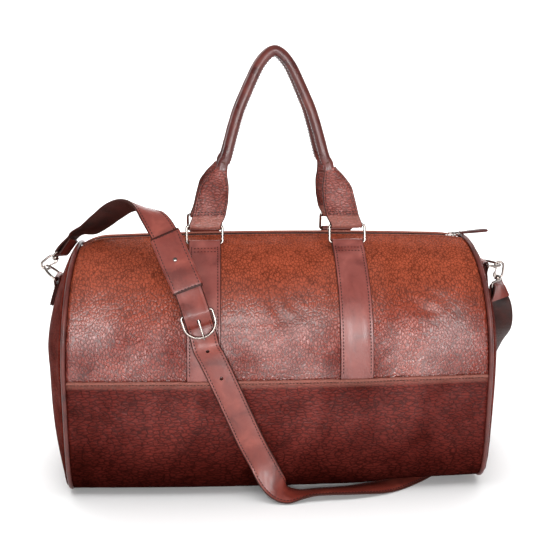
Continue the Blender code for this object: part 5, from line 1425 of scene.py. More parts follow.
def tab_line(h):
    keys = [row[1] * HANDLE_RISE for row in TAB_shares]
    spread = TAB_WIDTH * 0.1
    x = width = 0.0
    for k in (-1.0, -0.5, 0.0, 0.5, 1.0):
        at = max(h + k * spread, 0.0)
        x += look_up(keys, [row[0] * STRAP_OFFSET for row in TAB_shares], at) / 5.0
        width += look_up(keys, [row[2] * TAB_WIDTH for row in TAB_shares], at) / 5.0
    return x, width


def make_tab(name, side, hand, finishes, thread):
    inner = RING_WIRE / 2.0 + BAR_PLAY
    apart = inner + TAB_THICKNESS / 2.0
    together = (TAB_THICKNESS + GAP) / 2.0
    closing = TAB_WIDTH * 0.36
    face = Vector((0.0, side, 0.0))
    across = Vector((hand, 0.0, 0.0))

    def layer(h, sign):
        x, width = tab_line(max(h, 0.0))
        reach = between(apart, together, smooth(h / closing))
        place = Vector((hand * x, 0.0, h)) + face * sign * reach
        return centred(place, across, face * sign, width)

    top = TAB_shares[-1][1] * HANDLE_RISE
    steps = 36
    front = [layer(top * i / steps, 1.0) for i in range(1, steps + 1)]
    back = [layer(TAB_BACK_share * HANDLE_RISE * (1.0 - i / 30.0), -1.0) for i in range(30)]
    x, width = tab_line(0.0)
    centre = Vector((hand * x, 0.0, 0.0))
    stations = back + bar_fold(centre, UP, across, face, inner, TAB_THICKNESS, width) + front
    place = handle_frame(side)
    body = "handle_" + name.split("_")[0]
    shape = Shape()
    ribbon(shape, stations, TAB_THICKNESS, TAB_STITCH_INSET)
    shape.make("tab_" + name, body, finishes, "handle_leather", ["handle_tab_" + name], place)
    rows = Thread()
    for layers in (front, back[::-1]):
        shown = [st for st in layers if st[0].z > closing * 0.8]
        shown = [st for st in shown if (st[1] - st[0]).length > TAB_WIDTH * 0.5]
        for line in edge_rows(shown, TAB_THICKNESS, TAB_STITCH_INSET):
            rows.row(line)
    for h in (closing * 0.95, closing * 1.15):
        rows.row(cross_row(layer(h, 1.0), TAB_THICKNESS))
    rows.row(cross_row(layer(closing, -1.0), TAB_THICKNESS))
    rows.make("tab_stitches_" + name, body, [thread], "handle_leather", matrix=place)


# D-rings and their tabs


def end_surface(end, z):
    plain = z
    for _ in range(6):
        plain += z - (plain - drop_at(end, plain))
    reach = HEIGHT - PIPING_SINK - LEATHER - END_CENTRE
    return dome_point(end, 0.0, plain, min(abs(plain - END_CENTRE) / reach, 1.0))


def end_directions(end, z):
    a = end_surface(end, z + GAP)
    b = end_surface(end, z - GAP)
    down = (b - a).normalized()
    out = Vector((-down.z, 0.0, down.x))
    return down, out if out.x * end > 0.0 else -out


def by_end(end, pair):
    return pair[0] if end < 0.0 else pair[1]


def d_bar(end):
    z = by_end(end, D_HEIGHTS)
    down, out = end_directions(end, z)
    height = D_WIRE / 2.0 + BAR_PLAY + D_TAB_THICKNESS + GAP + by_end(end, D_STANDOFFS)
    return z, end_surface(end, z) + out * height, down, out


def d_frame(end):
    """D-ring frame: origin on the bar, X away from the bag along the ring, Y along the bar."""
    _, bar, _, _ = d_bar(end)
    rise = math.radians(by_end(end, D_RISES_DEG))
    way = Vector((end * math.cos(rise), 0.0, math.sin(rise)))
    return frame_of(bar, way, BACKWARDS, way.cross(BACKWARDS))


def arc(cx, cy, radius, start, stop, steps):
    points = []
    for i in range(steps + 1):
        angle = math.radians(between(start, stop, i / steps))
        points.append((cx + radius * math.cos(angle), cy + radius * math.sin(angle), 0.0))
    return points


def make_d_ring(end, name, metal):
    half = (D_INNER_WIDTH + D_WIRE) / 2.0
    corner = D_WIRE * 0.9
    path = arc(corner, corner - half, corner, 180, 270, 8)
    path += arc(D_REACH - half, 0.0, half, -90, 90, 36)
    path += arc(corner, half - corner, corner, 90, 180, 8)
    node = "d_ring_" + name
    make_wire("wire_d_" + name, node, node, path, D_WIRE, UP, 18, d_frame(end), metal)


def make_d_tab(end, name, finishes, thread):
    z_bar, bar, down, out = d_bar(end)
    across = Vector((0.0, end, 0.0))
    inner = D_WIRE / 2.0 + BAR_PLAY
    thickness = D_TAB_THICKNESS
    under = GAP + thickness / 2.0
    over = under + thickness + GAP
    top = under + 2.0 * inner + thickness
    standoff = by_end(end, D_STANDOFFS)
    count = 26

    def layer(z, height):
        _, way = end_directions(end, z)
        height += standoff * (1.0 - smooth((z_bar - z) / D_TAB_LENGTH))
        return centred(end_surface(end, z) + way * height, across, way, D_TAB_WIDTH)

    heights = [z_bar - D_TAB_LENGTH * i / count for i in range(1, count + 1)]
    stations = [turned_over(layer(z, under)) for z in reversed(heights)]
    stations += bar_fold(bar, down, across, out, inner, thickness, D_TAB_WIDTH)
    outer = []
    for z in heights:
        outer.append(layer(z, between(top, over, smooth((z_bar - z) / (D_TAB_LENGTH * 0.34)))))
    shape = Shape()
    ribbon(shape, stations + outer, thickness)
    for line in edge_rows(outer[6:], thickness):
        thread.row(line)
    thread.row(cross_row(outer[-3], thickness))
    thread.row(cross_row(outer[9], thickness))
    shape.make("end_tab_" + name, "bag", finishes, "strap_leather", ["d_tab_" + name])


# Snap hooks


def hook_frame(end):
    tip = d_frame(end) @ Vector((D_REACH, 0.0, 0.0))
    angle = math.radians(by_end(end, HOOK_AXES_DEG))
    z_axis = Vector((math.cos(angle), 0.0, math.sin(angle)))
    return frame_of(tip, BACKWARDS.cross(z_axis), BACKWARDS, z_axis)


def eye_frame(end):
    turn = math.radians(by_end(end, HOOK_TURNS_DEG))
    place = hook_frame(end) @ Matrix.Translation((0.0, 0.0, HOOK_REACH))
    return place @ Matrix.Rotation(turn, 4, "Z")


def gate_place():
    return Vector((GATE_PLACE_shares[0] * HOOK_REACH, 0.0, GATE_PLACE_shares[1] * HOOK_REACH))


def make_hook(end, name, metal):
    radius = HOOK_BOW_WIDTH / 2.0
    low = (HOOK_BOW_WIDTH - HOOK_WIRE) / 2.0 - D_WIRE / 2.0 - GAP
    collar_low = HOOK_COLLAR_START_share * HOOK_REACH
    collar_high = collar_low + HOOK_COLLAR_LENGTH
    path = [(radius, 0.0, low + HOOK_NOSE)]
    path += [(x, 0.0, low + z) for x, z, _ in arc(0.0, 0.0, radius, 0, -180, 28)]
    for away, share in ((1.0, 0.72), (0.95, 0.86), (0.84, 0.98)):
        path.append((-radius * away, 0.0, between(low, collar_low, share)))
    path.append((-radius * 0.55, 0.0, between(collar_low, collar_high, 0.40)))
    shape = Shape()
    shape.tube(path, HOOK_WIRE / 2.0, BACKWARDS, sides=16, round_ends=True)
    wide = HOOK_COLLAR_DIAMETER / 2.0
    bore = POST_DIAMETER / 2.0 + POST_PLAY
    ease = wide * 0.16
    collar = [(bore, collar_low), (wide - ease, collar_low), (wide, collar_low + ease)]
    collar += [(wide, collar_high - ease), (wide - ease, collar_high), (bore, collar_high)]
    rings = [[(r * c, r * s, z) for r, z in collar] for c, s in circle(COLLAR_SIDES)]
    shape.loft(rings, closed=True)
    pin = gate_place()
    inner = GATE_BARREL_LENGTH / 2.0 + GATE_PLAY
    start = CHEEK_START_share * HOOK_REACH
    foot = CHEEK_FOOT_share * HOOK_REACH
    far = pin.x + GATE_BARREL_DIAMETER / 2.0
    head = between(collar_low, collar_high, 0.45)
    outline = eased([(start, -foot), (far, -foot), (far, -head), (start, -head)], 1)
    upright = Matrix.Rotation(math.radians(90.0), 4, "X")
    for sign in (-1.0, 1.0):
        near, away = sorted((-sign * inner, -sign * (inner + CHEEK)))
        shape.plate([(x, -z) for x, z in outline], near, away, CHEEK * 0.3, matrix=upright)
    reach = inner + CHEEK * 1.25
    half_pin = BACKWARDS * reach
    shape.tube([pin - half_pin, pin + half_pin], GATE_PIN_DIAMETER / 2.0, UP)
    node = "hook_body_" + name
    shape.make("hook_" + name, node, [metal], "nickel", [node], hook_frame(end))


def make_gate(end, name, metal):
    pin = gate_place()
    tip = Vector((GATE_TIP_shares[0] * HOOK_REACH, 0.0, GATE_TIP_shares[1] * HOOK_REACH)) - pin
    half = GATE_BARREL_LENGTH / 2.0
    shape = Shape()
    barrel = GATE_BARREL_DIAMETER / 2.0
    shape.tube([(0.0, -half, 0.0), (0.0, half, 0.0)], barrel, UP, sides=20)
    start = tip.normalized() * barrel * 0.5
    path = [start, tip.lerp(start, 0.5), tip * 0.97]
    shape.tube(path, GATE_WIRE / 2.0, BACKWARDS, round_ends=True)
    place = hook_frame(end) @ Matrix.Translation(pin)
    node = "hook_gate_" + name
    shape.make("gate_" + name, node, [metal], "nickel", [node], place)


def make_eye(end, name, metal):
    half = (EYE_INNER_WIDTH + EYE_WIRE) / 2.0
    path = rounded_rectangle(half, EYE_HEIGHT / 2.0, EYE_CORNER)
    path = [(x, y, z - EYE_HEIGHT / 2.0) for x, y, z in path]
    shape = Shape()
    shape.tube(path, EYE_WIRE / 2.0, BACKWARDS, closed=True, sides=16)
    head_top = HOOK_COLLAR_START_share * HOOK_REACH - HOOK_REACH - GAP
    head_low = head_top - POST_HEAD_LENGTH
    head = POST_HEAD_DIAMETER / 2.0
    ease = head * 0.2
    post = POST_DIAMETER / 2.0
    profile = [(head * 0.02, head_low), (head - ease, head_low), (head, head_low + ease)]
    profile += [(head, head_top - ease), (head - ease, head_top), (post, head_top)]
    profile += [(post, -EYE_HEIGHT), (post * 0.02, -EYE_HEIGHT)]
    shape.lathe(profile)
    node = "hook_eye_" + name
    shape.make("eye_" + name, node, [metal], "nickel", [node], eye_frame(end), sharp=50.0)


# Shoulder strap


def placed(share):
    return Vector((share[0] * HALF_LENGTH, share[1] * HALF_DEPTH, share[2] * HEIGHT))


def station(row):
    """(place, across) from a row of six shares."""
    return placed(row[:3]), Vector(row[3:]).normalized()


def front_skin(x, z):
    """Depth of the skin at this place on the front."""
    u = x / half_length_at(z)
    swell = max(1.0 - u * u, 0.0)
    z = z - TOP_ARCH * swell * (z / HEIGHT) ** 2
    s = length_at_height(z)
    return section_point(s)[0] * (1.0 + BELLY_SWELL_share * swell)


def buckle_frame():
    """Buckle frame: origin on the bar, X across, Y down the strap, Z away from the bag."""
    down = Vector(BUCKLE_DOWN_share).normalized()
    across = Vector(BUCKLE_ACROSS_share)
    across = (across - down * across.dot(down)).normalized()
    return frame_of(placed(BUCKLE_BAR_shares), -across, down, down.cross(across))


def buckle_across():
    return -buckle_frame().col[0].to_3d()


def curve_through(places, steps):
    """Catmull-Rom curve through (place, across) pairs."""
    result = []
    count = len(places)
    for i in range(count - 1):
        p0 = places[max(i - 1, 0)]
        p1 = places[i]
        p2 = places[i + 1]
        p3 = places[min(i + 2, count - 1)]
        span_in = max((p1[0] - p0[0]).length, GAP)
        span = (p2[0] - p1[0]).length
        span_out = max((p3[0] - p2[0]).length, GAP)
        for k in range(steps):
            t = k / steps
            mixed = []
            for a, b, c, d in zip(p0, p1, p2, p3):
                m1 = (c - a) * span / (span + span_in)
                m2 = (d - b) * span / (span + span_out)
                h00 = 2 * t**3 - 3 * t**2 + 1
                h10 = t**3 - 2 * t**2 + t
                h01 = -2 * t**3 + 3 * t**2
                h11 = t**3 - t**2
                mixed.append(b * h00 + m1 * h10 + c * h01 + m2 * h11)
            result.append(tuple(mixed))
    result.append(places[-1])
    return result


def framed(curve):
    """(place, along, across, out) at each point of a curve of (place, across)."""
    frames = []
    for i, (place, across) in enumerate(curve):
        a = curve[max(i - 1, 0)][0]
        b = curve[min(i + 1, len(curve) - 1)][0]
        along = (b - a).normalized()
        across = (across - along * across.dot(along)).normalized()
        frames.append((place, along, across, along.cross(across)))
    return frames


def end_fold(bar, frames, bar_wire, at_start, tongue=1.0):
    """Stations of a strap end folded round a bar, from the tail round to the main layer.

    tongue is the share of its width that the strap keeps at the bar, rounded off towards it.
    """
    bar, bar_way = bar
    inner = bar_wire / 2.0 + BAR_PLAY
    reach = inner + SHOULDER_THICKNESS / 2.0
    ordered = frames if at_start else frames[::-1]
    lengths = run_lengths(ordered)
    sign = 1.0 if at_start else -1.0
    across = bar_way if bar_way.dot(ordered[0][2]) > 0.0 else -bar_way
    along = ordered[0][1]
    along = (along - across * along.dot(across)).normalized()
    out = along.cross(across)
    main = []
    tail = []
    for (spot, _, side, face), length in zip(ordered, lengths):
        t = smooth(length / FOLD_BLEND)
        near = 1.0 - min(length / TONGUE_LENGTH, 1.0)
        width = SHOULDER_WIDTH * between(tongue, 1.0, math.sqrt(1.0 - near * near))
        main.append(centred(spot + face * between(reach, 0.0, t), side, face, width))
        if length <= SHOULDER_FOLD:
            depth = between(reach, SHOULDER_THICKNESS + GAP, t)
            tail.append(centred(spot - face * depth, side, -face, width))
    width = SHOULDER_WIDTH * tongue
    turn = bar_fold(bar, along * sign, across, out, inner, SHOULDER_THICKNESS, width)
    stations = tail[:0:-1] + turn + main[1:]
    return stations if at_start else stations[::-1]


def eye_bar(end):
    place = eye_frame(end)
    return place.translation.copy(), place.col[0].to_3d().normalized()


def short_frames():
    bar, across = eye_bar(-1.0)
    stations = [placed(row[:3]) for row in SHORT_STATIONS_shares]
    ways = [Vector(row[3:]) for row in SHORT_STATIONS_shares]
    if across.dot(ways[0]) < 0.0:
        across = -across
    places = [(bar, across)] + list(zip(stations, ways))
    places.append((buckle_frame().translation.copy(), buckle_across()))
    return framed(curve_through(places, CURVE_STEPS))


def join_folds(frames, first_bar, first_wire, last_bar, last_wire, tongue=1.0):
    half = len(frames) // 2
    if first_bar is None:
        head = [centred(p, side, face, SHOULDER_WIDTH) for p, _, side, face in frames[:half]]
    else:
        head = end_fold(first_bar, frames[:half], first_wire, True)
    return head + end_fold(last_bar, frames[half:], last_wire, False, tongue)


def front_stations():
    stations = []
    lift = SHOULDER_THICKNESS / 2.0 + SHOULDER_CLEAR
    for share_x, share_z in FRONT_STATIONS_shares:
        x = share_x * HALF_LENGTH
        z = share_z * HEIGHT
        slope = (front_skin(x, z + PROBE) - front_skin(x, z - PROBE)) / (2.0 * PROBE)
        out = Vector((0.0, -1.0, -slope)).normalized()
        stations.append((Vector((x, -front_skin(x, z), z)) + out * lift, out))
    rows = []
    for i, (place, out) in enumerate(stations):
        a = stations[max(i - 1, 0)][0]
        b = stations[min(i + 1, len(stations) - 1)][0]
        rows.append((place, out.cross(b - a).normalized()))
    return rows


def over_buckle_stations():
    """The long part's tail over the fold, then down through the frame and under its end."""
    here = buckle_frame()
    across = buckle_across()
    bar = BUCKLE_WIRE / 2.0
    over = bar + BAR_PLAY + SHOULDER_THICKNESS * 1.5 + SHOULDER_CLEAR
    under = -(bar + SHOULDER_CLEAR + SHOULDER_THICKNESS / 2.0)
    rows = (
        (0.00, over),
        (0.14, over - SHOULDER_THICKNESS * 0.25),
        (0.31, between(over, under, 0.40)),
        (0.45, between(over, under, 0.74)),
        (0.59, under - SHOULDER_CLEAR),
        (0.95, under - SHOULDER_CLEAR),
    )
    return [(here @ Vector((0.0, y * BUCKLE_LENGTH, z)), across) for y, z in rows]


def frame_at(frames, lengths, length):
    for i in range(1, len(frames)):
        if length <= lengths[i]:
            t = (length - lengths[i - 1]) / (lengths[i] - lengths[i - 1])
            mixed = [a.lerp(b, t) for a, b in zip(frames[i - 1], frames[i])]
            return mixed[0], mixed[1].normalized(), mixed[2].normalized(), mixed[3].normalized()
    return frames[-1]


def tail_rows():
    """The long part's tail inside the sleeve, lying on the short part."""
    frames = short_frames()
    lengths = run_lengths(frames)
    end = lengths[-1] - SLEEVE_FOOT
    far = end - TAIL_END_share * SLEEVE_LENGTH
    rows = []
    count = 5
    for i in range(count + 1):
        at = between(far, end + SLEEVE_FOOT * 0.35, i / count)
        place, _, across, out = frame_at(frames, lengths, at)
        lift = SHOULDER_THICKNESS + SLEEVE_PLAY + (SHOULDER_CLEAR if i == count else 0.0)
        rows.append((place + out * lift, across))
    return rows


def long_frames():
    bar, across = eye_bar(1.0)
    places = tail_rows() + over_buckle_stations() + [station(BELOW_BUCKLE_shares)]
    places += front_stations() + [station(row) for row in FLOOR_STATIONS_shares]
    if across.dot(places[-1][1]) < 0.0:
        across = -across
    places.append((bar, across))
    return framed(curve_through(places, CURVE_STEPS))


def cut_away(obj, cutters):
    """Takes the cutters out of the piece, so that no helper object is left in the scene."""
    for i, cutter in enumerate(cutters):
        boolean = obj.modifiers.new("cut_%d" % i, "BOOLEAN")
        boolean.solver = "EXACT"
        boolean.operation = "DIFFERENCE"
        boolean.object = cutter
    bpy.context.view_layer.update()
    graph = bpy.context.evaluated_depsgraph_get()
    cut = bpy.data.meshes.new_from_object(obj.evaluated_get(graph))
    obj.modifiers.clear()
    obj.data = cut
    cut.set_sharp_from_angle(angle=math.radians(60.0))
    for cutter in cutters:
        bpy.data.objects.remove(cutter, do_unlink=True)


def cutter_object(points, faces, material):
    mesh = outward_mesh("cutter", points, faces)
    mesh.materials.append(material)
    return linked("cutter", mesh)


def punch(start, end, radius, material):
    shape = Shape()
    shape.tube([start, end], radius, (end - start).orthogonal(), sides=24)
    return cutter_object(shape.points, shape.faces, material)


def block(low, high, matrix, material):
    corners = [matrix @ Vector(corner) for corner in itertools.product(*zip(low, high))]
    faces = [(0, 1, 3, 2), (4, 6, 7, 5), (0, 4, 5, 1), (2, 3, 7, 6), (0, 2, 6, 4), (1, 5, 7, 3)]
    return cutter_object(corners, faces, material)


def sew_strap(thread, frames, start, folds):
    """Stitches along both edges from start to the end fold, and across at the folds.

    folds holds shares of the fold's length, negative ones measured from the strap's end.
    """
    lengths = run_lengths(frames)
    shown = []
    for (place, _, across, out), at in zip(frames, lengths):
        if start < at < lengths[-1] - FOLD_BLEND:
            shown.append(centred(place, across, out, SHOULDER_WIDTH))
    for line in edge_rows(shown, SHOULDER_THICKNESS):
        thread.row(line)
    high = EYE_WIRE / 2.0 + BAR_PLAY + SHOULDER_THICKNESS / 2.0
    for share in folds:
        at = SHOULDER_FOLD * share + (lengths[-1] if share < 0.0 else 0.0)
        place, _, across, out = frame_at(frames, lengths, at)
        lift = between(high, 0.0, smooth(min(at, lengths[-1] - at) / FOLD_BLEND))
        row = centred(place + out * lift, across, out, SHOULDER_WIDTH)
        thread.row(cross_row(row, SHOULDER_THICKNESS))


def make_short_strap(finishes, thread):
    frames = short_frames()
    bar = (buckle_frame().translation.copy(), buckle_across())
    stations = join_folds(frames, eye_bar(-1.0), EYE_WIRE, bar, BUCKLE_WIRE, TONGUE_share)
    shape = Shape()
    ribbon(shape, stations, SHOULDER_THICKNESS, under=2)
    strap = shape.make("strap_short", "bag", finishes, "shoulder_leather", ["strap_short_part"])
    half = PRONG_BARREL_LENGTH / 2.0 + SLOT_PLAY
    depth = BUCKLE_WIRE / 2.0 + BAR_PLAY + SHOULDER_THICKNESS + CUT_OVERRUN
    low = (-half, -depth * 0.80, -depth * 0.56)
    cut_away(strap, [block(low, (half, depth, depth), buckle_frame(), finishes[1])])
    sew_strap(thread, frames, FOLD_BLEND, (0.62, 0.8, -0.8))


def make_long_strap(finishes, thread):
    frames = long_frames()
    stations = join_folds(frames, None, 0.0, eye_bar(1.0), EYE_WIRE)
    shape = Shape()
    ribbon(shape, stations, SHOULDER_THICKNESS, under=2)
    strap = shape.make("strap_long", "bag", finishes, "shoulder_leather", ["strap_long_part"])
    here = buckle_frame()
    start, end = prong_line()
    slot = PRONG_WIRE / 2.0 + HOLE_PLAY
    cutters = [punch(here @ start, here @ (end * 1.25), slot, finishes[1])]
    lengths = run_lengths(frames)
    down = here @ Vector((0.0, BUCKLE_LENGTH * 0.3, 0.0))
    nearest = min(range(len(frames)), key=lambda i: (frames[i][0] - down).length)
    for i in range(1, HOLE_COUNT + 1):
        place, _, _, out = frame_at(frames, lengths, lengths[nearest] + i * HOLE_SPACING)
        reach = out * (SHOULDER_THICKNESS / 2.0 + CUT_OVERRUN)
        cutters.append(punch(place - reach, place + reach, HOLE_DIAMETER / 2.0, finishes[1]))
    cut_away(strap, cutters)
    sew_strap(thread, frames, lengths[nearest], (-0.62, -0.8))


def prong_line():
    rest = BUCKLE_WIRE / 2.0 + PRONG_PLAY + PRONG_WIRE / 2.0
    tip = BUCKLE_LENGTH + BUCKLE_WIRE * 0.7
    return Vector((0.0, PRONG_WIRE * 0.15, rest)), Vector((0.0, tip, rest))


def make_buckle(metal):
    half = (BUCKLE_INNER_WIDTH + BUCKLE_WIRE) / 2.0
    side = BUCKLE_SIDE_share * BUCKLE_LENGTH
    corner = BUCKLE_WIRE * 0.8
    path = arc(corner - half, corner, corner, 270, 180, 8)
    steps = 36
    for i in range(steps + 1):
        angle = math.pi - math.pi * i / steps
        bow = (BUCKLE_LENGTH - side) * math.sin(angle)
        path.append((half * math.cos(angle), side + bow, 0.0))
    path += arc(half - corner, corner, corner, 0, -90, 8)
    place, node = buckle_frame(), "buckle_frame"
    make_wire("buckle", node, node, path, BUCKLE_WIRE, UP, 20, place, metal)
    half = PRONG_BARREL_LENGTH / 2.0
    outer = BUCKLE_WIRE / 2.0 + PRONG_PLAY + PRONG_WIRE * 0.42
    bore = BUCKLE_WIRE / 2.0 + PRONG_PLAY
    ease = PRONG_WIRE * 0.1
    collar = [(bore, -half), (outer - ease, -half), (outer, ease - half)]
    collar += [(r, -x) for r, x in reversed(collar)]
    rings = [[(x, r * c, r * s) for r, x in collar] for c, s in circle(COLLAR_SIDES)]
    prong = Shape()
    prong.loft(rings, closed=True)
    start, end = prong_line()
    path = [start.lerp(end, share) for share in (0.0, 0.3, 0.6, 0.85, 1.0)]
    radii = [PRONG_WIRE / 2.0 * share for share in (1.0, 1.0, 0.97, 0.85, 0.7)]
    prong.tube(path, radii, ACROSS, sides=16, round_ends=True)
    prong.make("prong", "buckle_prong", [metal], "nickel", ["buckle_prong"], place)


def sleeve_frames(count):
    frames = short_frames()
    lengths = run_lengths(frames)
    end = lengths[-1] - SLEEVE_FOOT
    places = []
    lift = (SHOULDER_THICKNESS + SLEEVE_PLAY) / 2.0
    for i in range(count + 1):
        at = between(end - SLEEVE_LENGTH, end, i / count)
        place, along, across, out = frame_at(frames, lengths, at)
        places.append((place + out * lift, along, across, out))
    return places


def make_sleeve(finishes, thread, metal):
    half_height = SHOULDER_THICKNESS + 1.5 * SLEEVE_PLAY
    half_width = SHOULDER_WIDTH / 2.0 + SLEEVE_PLAY
    wall = SLEEVE_LEATHER
    frames = sleeve_frames(30)

    def ring(place, across, out, extra, corner):
        path = rounded_rectangle(half_width + extra, half_height + extra, corner, 5)
        return [place + across * x + out * z for x, _, z in path]

    outer = []
    inner = []
    count = len(frames)
    for i, (place, _, across, out) in enumerate(frames):
        rim = min(i, count - 1 - i)
        extra = wall - (wall * 0.35 if rim == 0 else 0.0)
        outer.append(ring(place, across, out, extra, wall * 1.4))
        inner.append(ring(place, across, out, 0.0, wall * 0.4))
    sides = len(outer[0])
    points = [p for r in outer + inner for p in r]
    shift = sides * count
    faces = grid_faces(count, sides, closed=True)
    faces += [tuple(shift + k for k in reversed(face)) for face in faces]
    kinds = [0] * len(faces)
    for i in (0, count - 1):
        for k in range(sides):
            here, ahead = i * sides + k, i * sides + (k + 1) % sides
            faces.append((here, ahead, shift + ahead, shift + here))
            kinds.append(1)
            kinds[(0 if i == 0 else count - 2) * sides + k] = 1
    shape = Shape()
    shape.add(points, faces, kinds)
    shape.make("sleeve", "bag", finishes, "shoulder_leather", ["strap_sleeve"])
    top = [centred(p, a, o, 2.0 * (half_width + wall)) for p, _, a, o in frames[1:-1]]
    for line in edge_rows(top, 2.0 * (half_height + wall) + GROOVE_DEPTH):
        thread.row(line)
    for place, _, across, out in (frames[1], frames[-2]):
        row = centred(place, across, out, 2.0 * half_width)
        thread.row(cross_row(row, 2.0 * (half_height + wall)))
    lengths = run_lengths(frames)
    place, along, across, out = frame_at(frames, lengths, RIVET_PLACE_share * lengths[-1])
    seat = frame_of(place + out * (half_height + wall), along, across, out)
    wide = RIVET_DIAMETER / 2.0
    profile = [(RIVET_SHANK / 2.0, GAP - SLEEVE_LEATHER), (RIVET_SHANK / 2.0, GAP), (wide, GAP)]
    for angle in quarter_turn(8)[:-1]:
        height = RIVET_HEIGHT * (0.25 + 0.75 * math.sin(angle))
        profile.append((wide * math.cos(angle), GAP + height))
    profile.append((wide * 0.03, GAP + RIVET_HEIGHT))
    rivet = Shape()
    rivet.lathe(profile)
    rivet.make("rivet", "bag", [metal], "nickel", ["strap_rivet"], seat)


# Seams' stitches


def seam_threads(thread):
    for side in (-1.0, 1.0):
        for s in (S_SEAM + HEM_STITCH, S_ZIP + HEM_STITCH):
            line = []
            for i in range(161):
                u = (-1.0 + 2.0 * i / 160) * SEAM_REACH_share
                height = wrap_height(u, s) if s > S_SEAM else -PANEL_INSET - HEM_RISE * 0.9
                line.append((skin(u, s, -height, side), outward(s, side)))
            thread.row(line)


# Finishes: node materials


class Finish:
    """One node material; sockets are named by keyword, with _ for a space."""

    def __init__(self, name):
        self.material = bpy.data.materials.new(name)
        self.material.use_nodes = True
        self.tree = self.material.node_tree
        self.shader = self.tree.nodes["Principled BSDF"]
        self.place = self.add("ShaderNodeTexCoord").outputs["Object"]

    def add(self, kind, settings=None, **sockets):
        node = self.tree.nodes.new(kind)
        for key, value in (settings or {}).items():
            setattr(node, key, value)
        for key, value in sockets.items():
            self.plug(node, key.replace("_", " "), value)
        return node

    def plug(self, node, key, value):
        socket = node.inputs[int(key)] if key.isdigit() else node.inputs[key]
        if isinstance(value, bpy.types.NodeSocket):
            self.tree.links.new(value, socket)
        else:
            socket.default_value = value

    def set(self, **sockets):
        for key, value in sockets.items():
            self.plug(self.shader, key.replace("_", " "), value)

    def math(self, operation, a, b=0.0):
        node = self.add("ShaderNodeMath", {"operation": operation})
        self.plug(node, "0", a)
        self.plug(node, "1", b)
        return node.outputs[0]

    def mapped(self, vector, **sockets):
        return self.add("ShaderNodeMapping", Vector=vector, **sockets).outputs["Vector"]

    def noise(self, scale, detail=3.0, vector=None, roughness=0.55, distortion=0.0):
        node = self.add("ShaderNodeTexNoise", Vector=vector or self.place, Scale=scale)
        self.plug(node, "Detail", detail)
        self.plug(node, "Roughness", roughness)
        self.plug(node, "Distortion", distortion)
        return node.outputs["Fac"]

    def cells(self, scale, vector):
        settings = {"feature": "DISTANCE_TO_EDGE"}
        node = self.add("ShaderNodeTexVoronoi", settings, Vector=vector, Scale=scale)
        return node.outputs["Distance"]

    def bands(self, direction, scale, distortion=0.0):
        settings = {"wave_type": "BANDS", "bands_direction": direction}
        node = self.add("ShaderNodeTexWave", settings, Vector=self.place, Scale=scale)
        self.plug(node, "Distortion", distortion)
        return node.outputs["Fac"]

    def ramp(self, value, stops):
        node = self.add("ShaderNodeValToRGB", Fac=value)
        band = node.color_ramp
        band.interpolation = "EASE"
        while len(band.elements) < len(stops):
            band.elements.new(0.5)
        for element, (position, colour) in zip(band.elements, stops):
            element.position = position
            element.color = (*colour, 1.0)
        return node.outputs["Color"]

    def grey(self, value, stops):
        return self.ramp(value, [(position, (shade, shade, shade)) for position, shade in stops])

    def mix(self, factor, a, b, blend="MIX"):
        node = self.add("ShaderNodeMix", {"data_type": "RGBA", "blend_type": blend})
        for socket, value in (("0", factor), ("6", a), ("7", b)):
            self.plug(node, socket, (*value, 1.0) if isinstance(value, tuple) else value)
        return node.outputs[2]

    def bump(self, height, strength, distance, normal=None):
        node = self.add("ShaderNodeBump", Height=height, Strength=strength, Distance=distance)
        if normal is not None:
            self.plug(node, "Normal", normal)
        return node.outputs["Normal"]

    def warped(self, amount, scale):
        """Coordinates pushed about by noise, so that cells lose their straight walls."""
        drift = self.add("ShaderNodeTexNoise", Vector=self.place, Scale=scale, Detail=2.0)
        shift = self.add("ShaderNodeVectorMath", {"operation": "MULTIPLY_ADD"})
        for number, value in enumerate((drift.outputs["Color"], (amount,) * 3, self.place)):
            self.plug(shift, str(number), value)
        return shift.outputs[0]


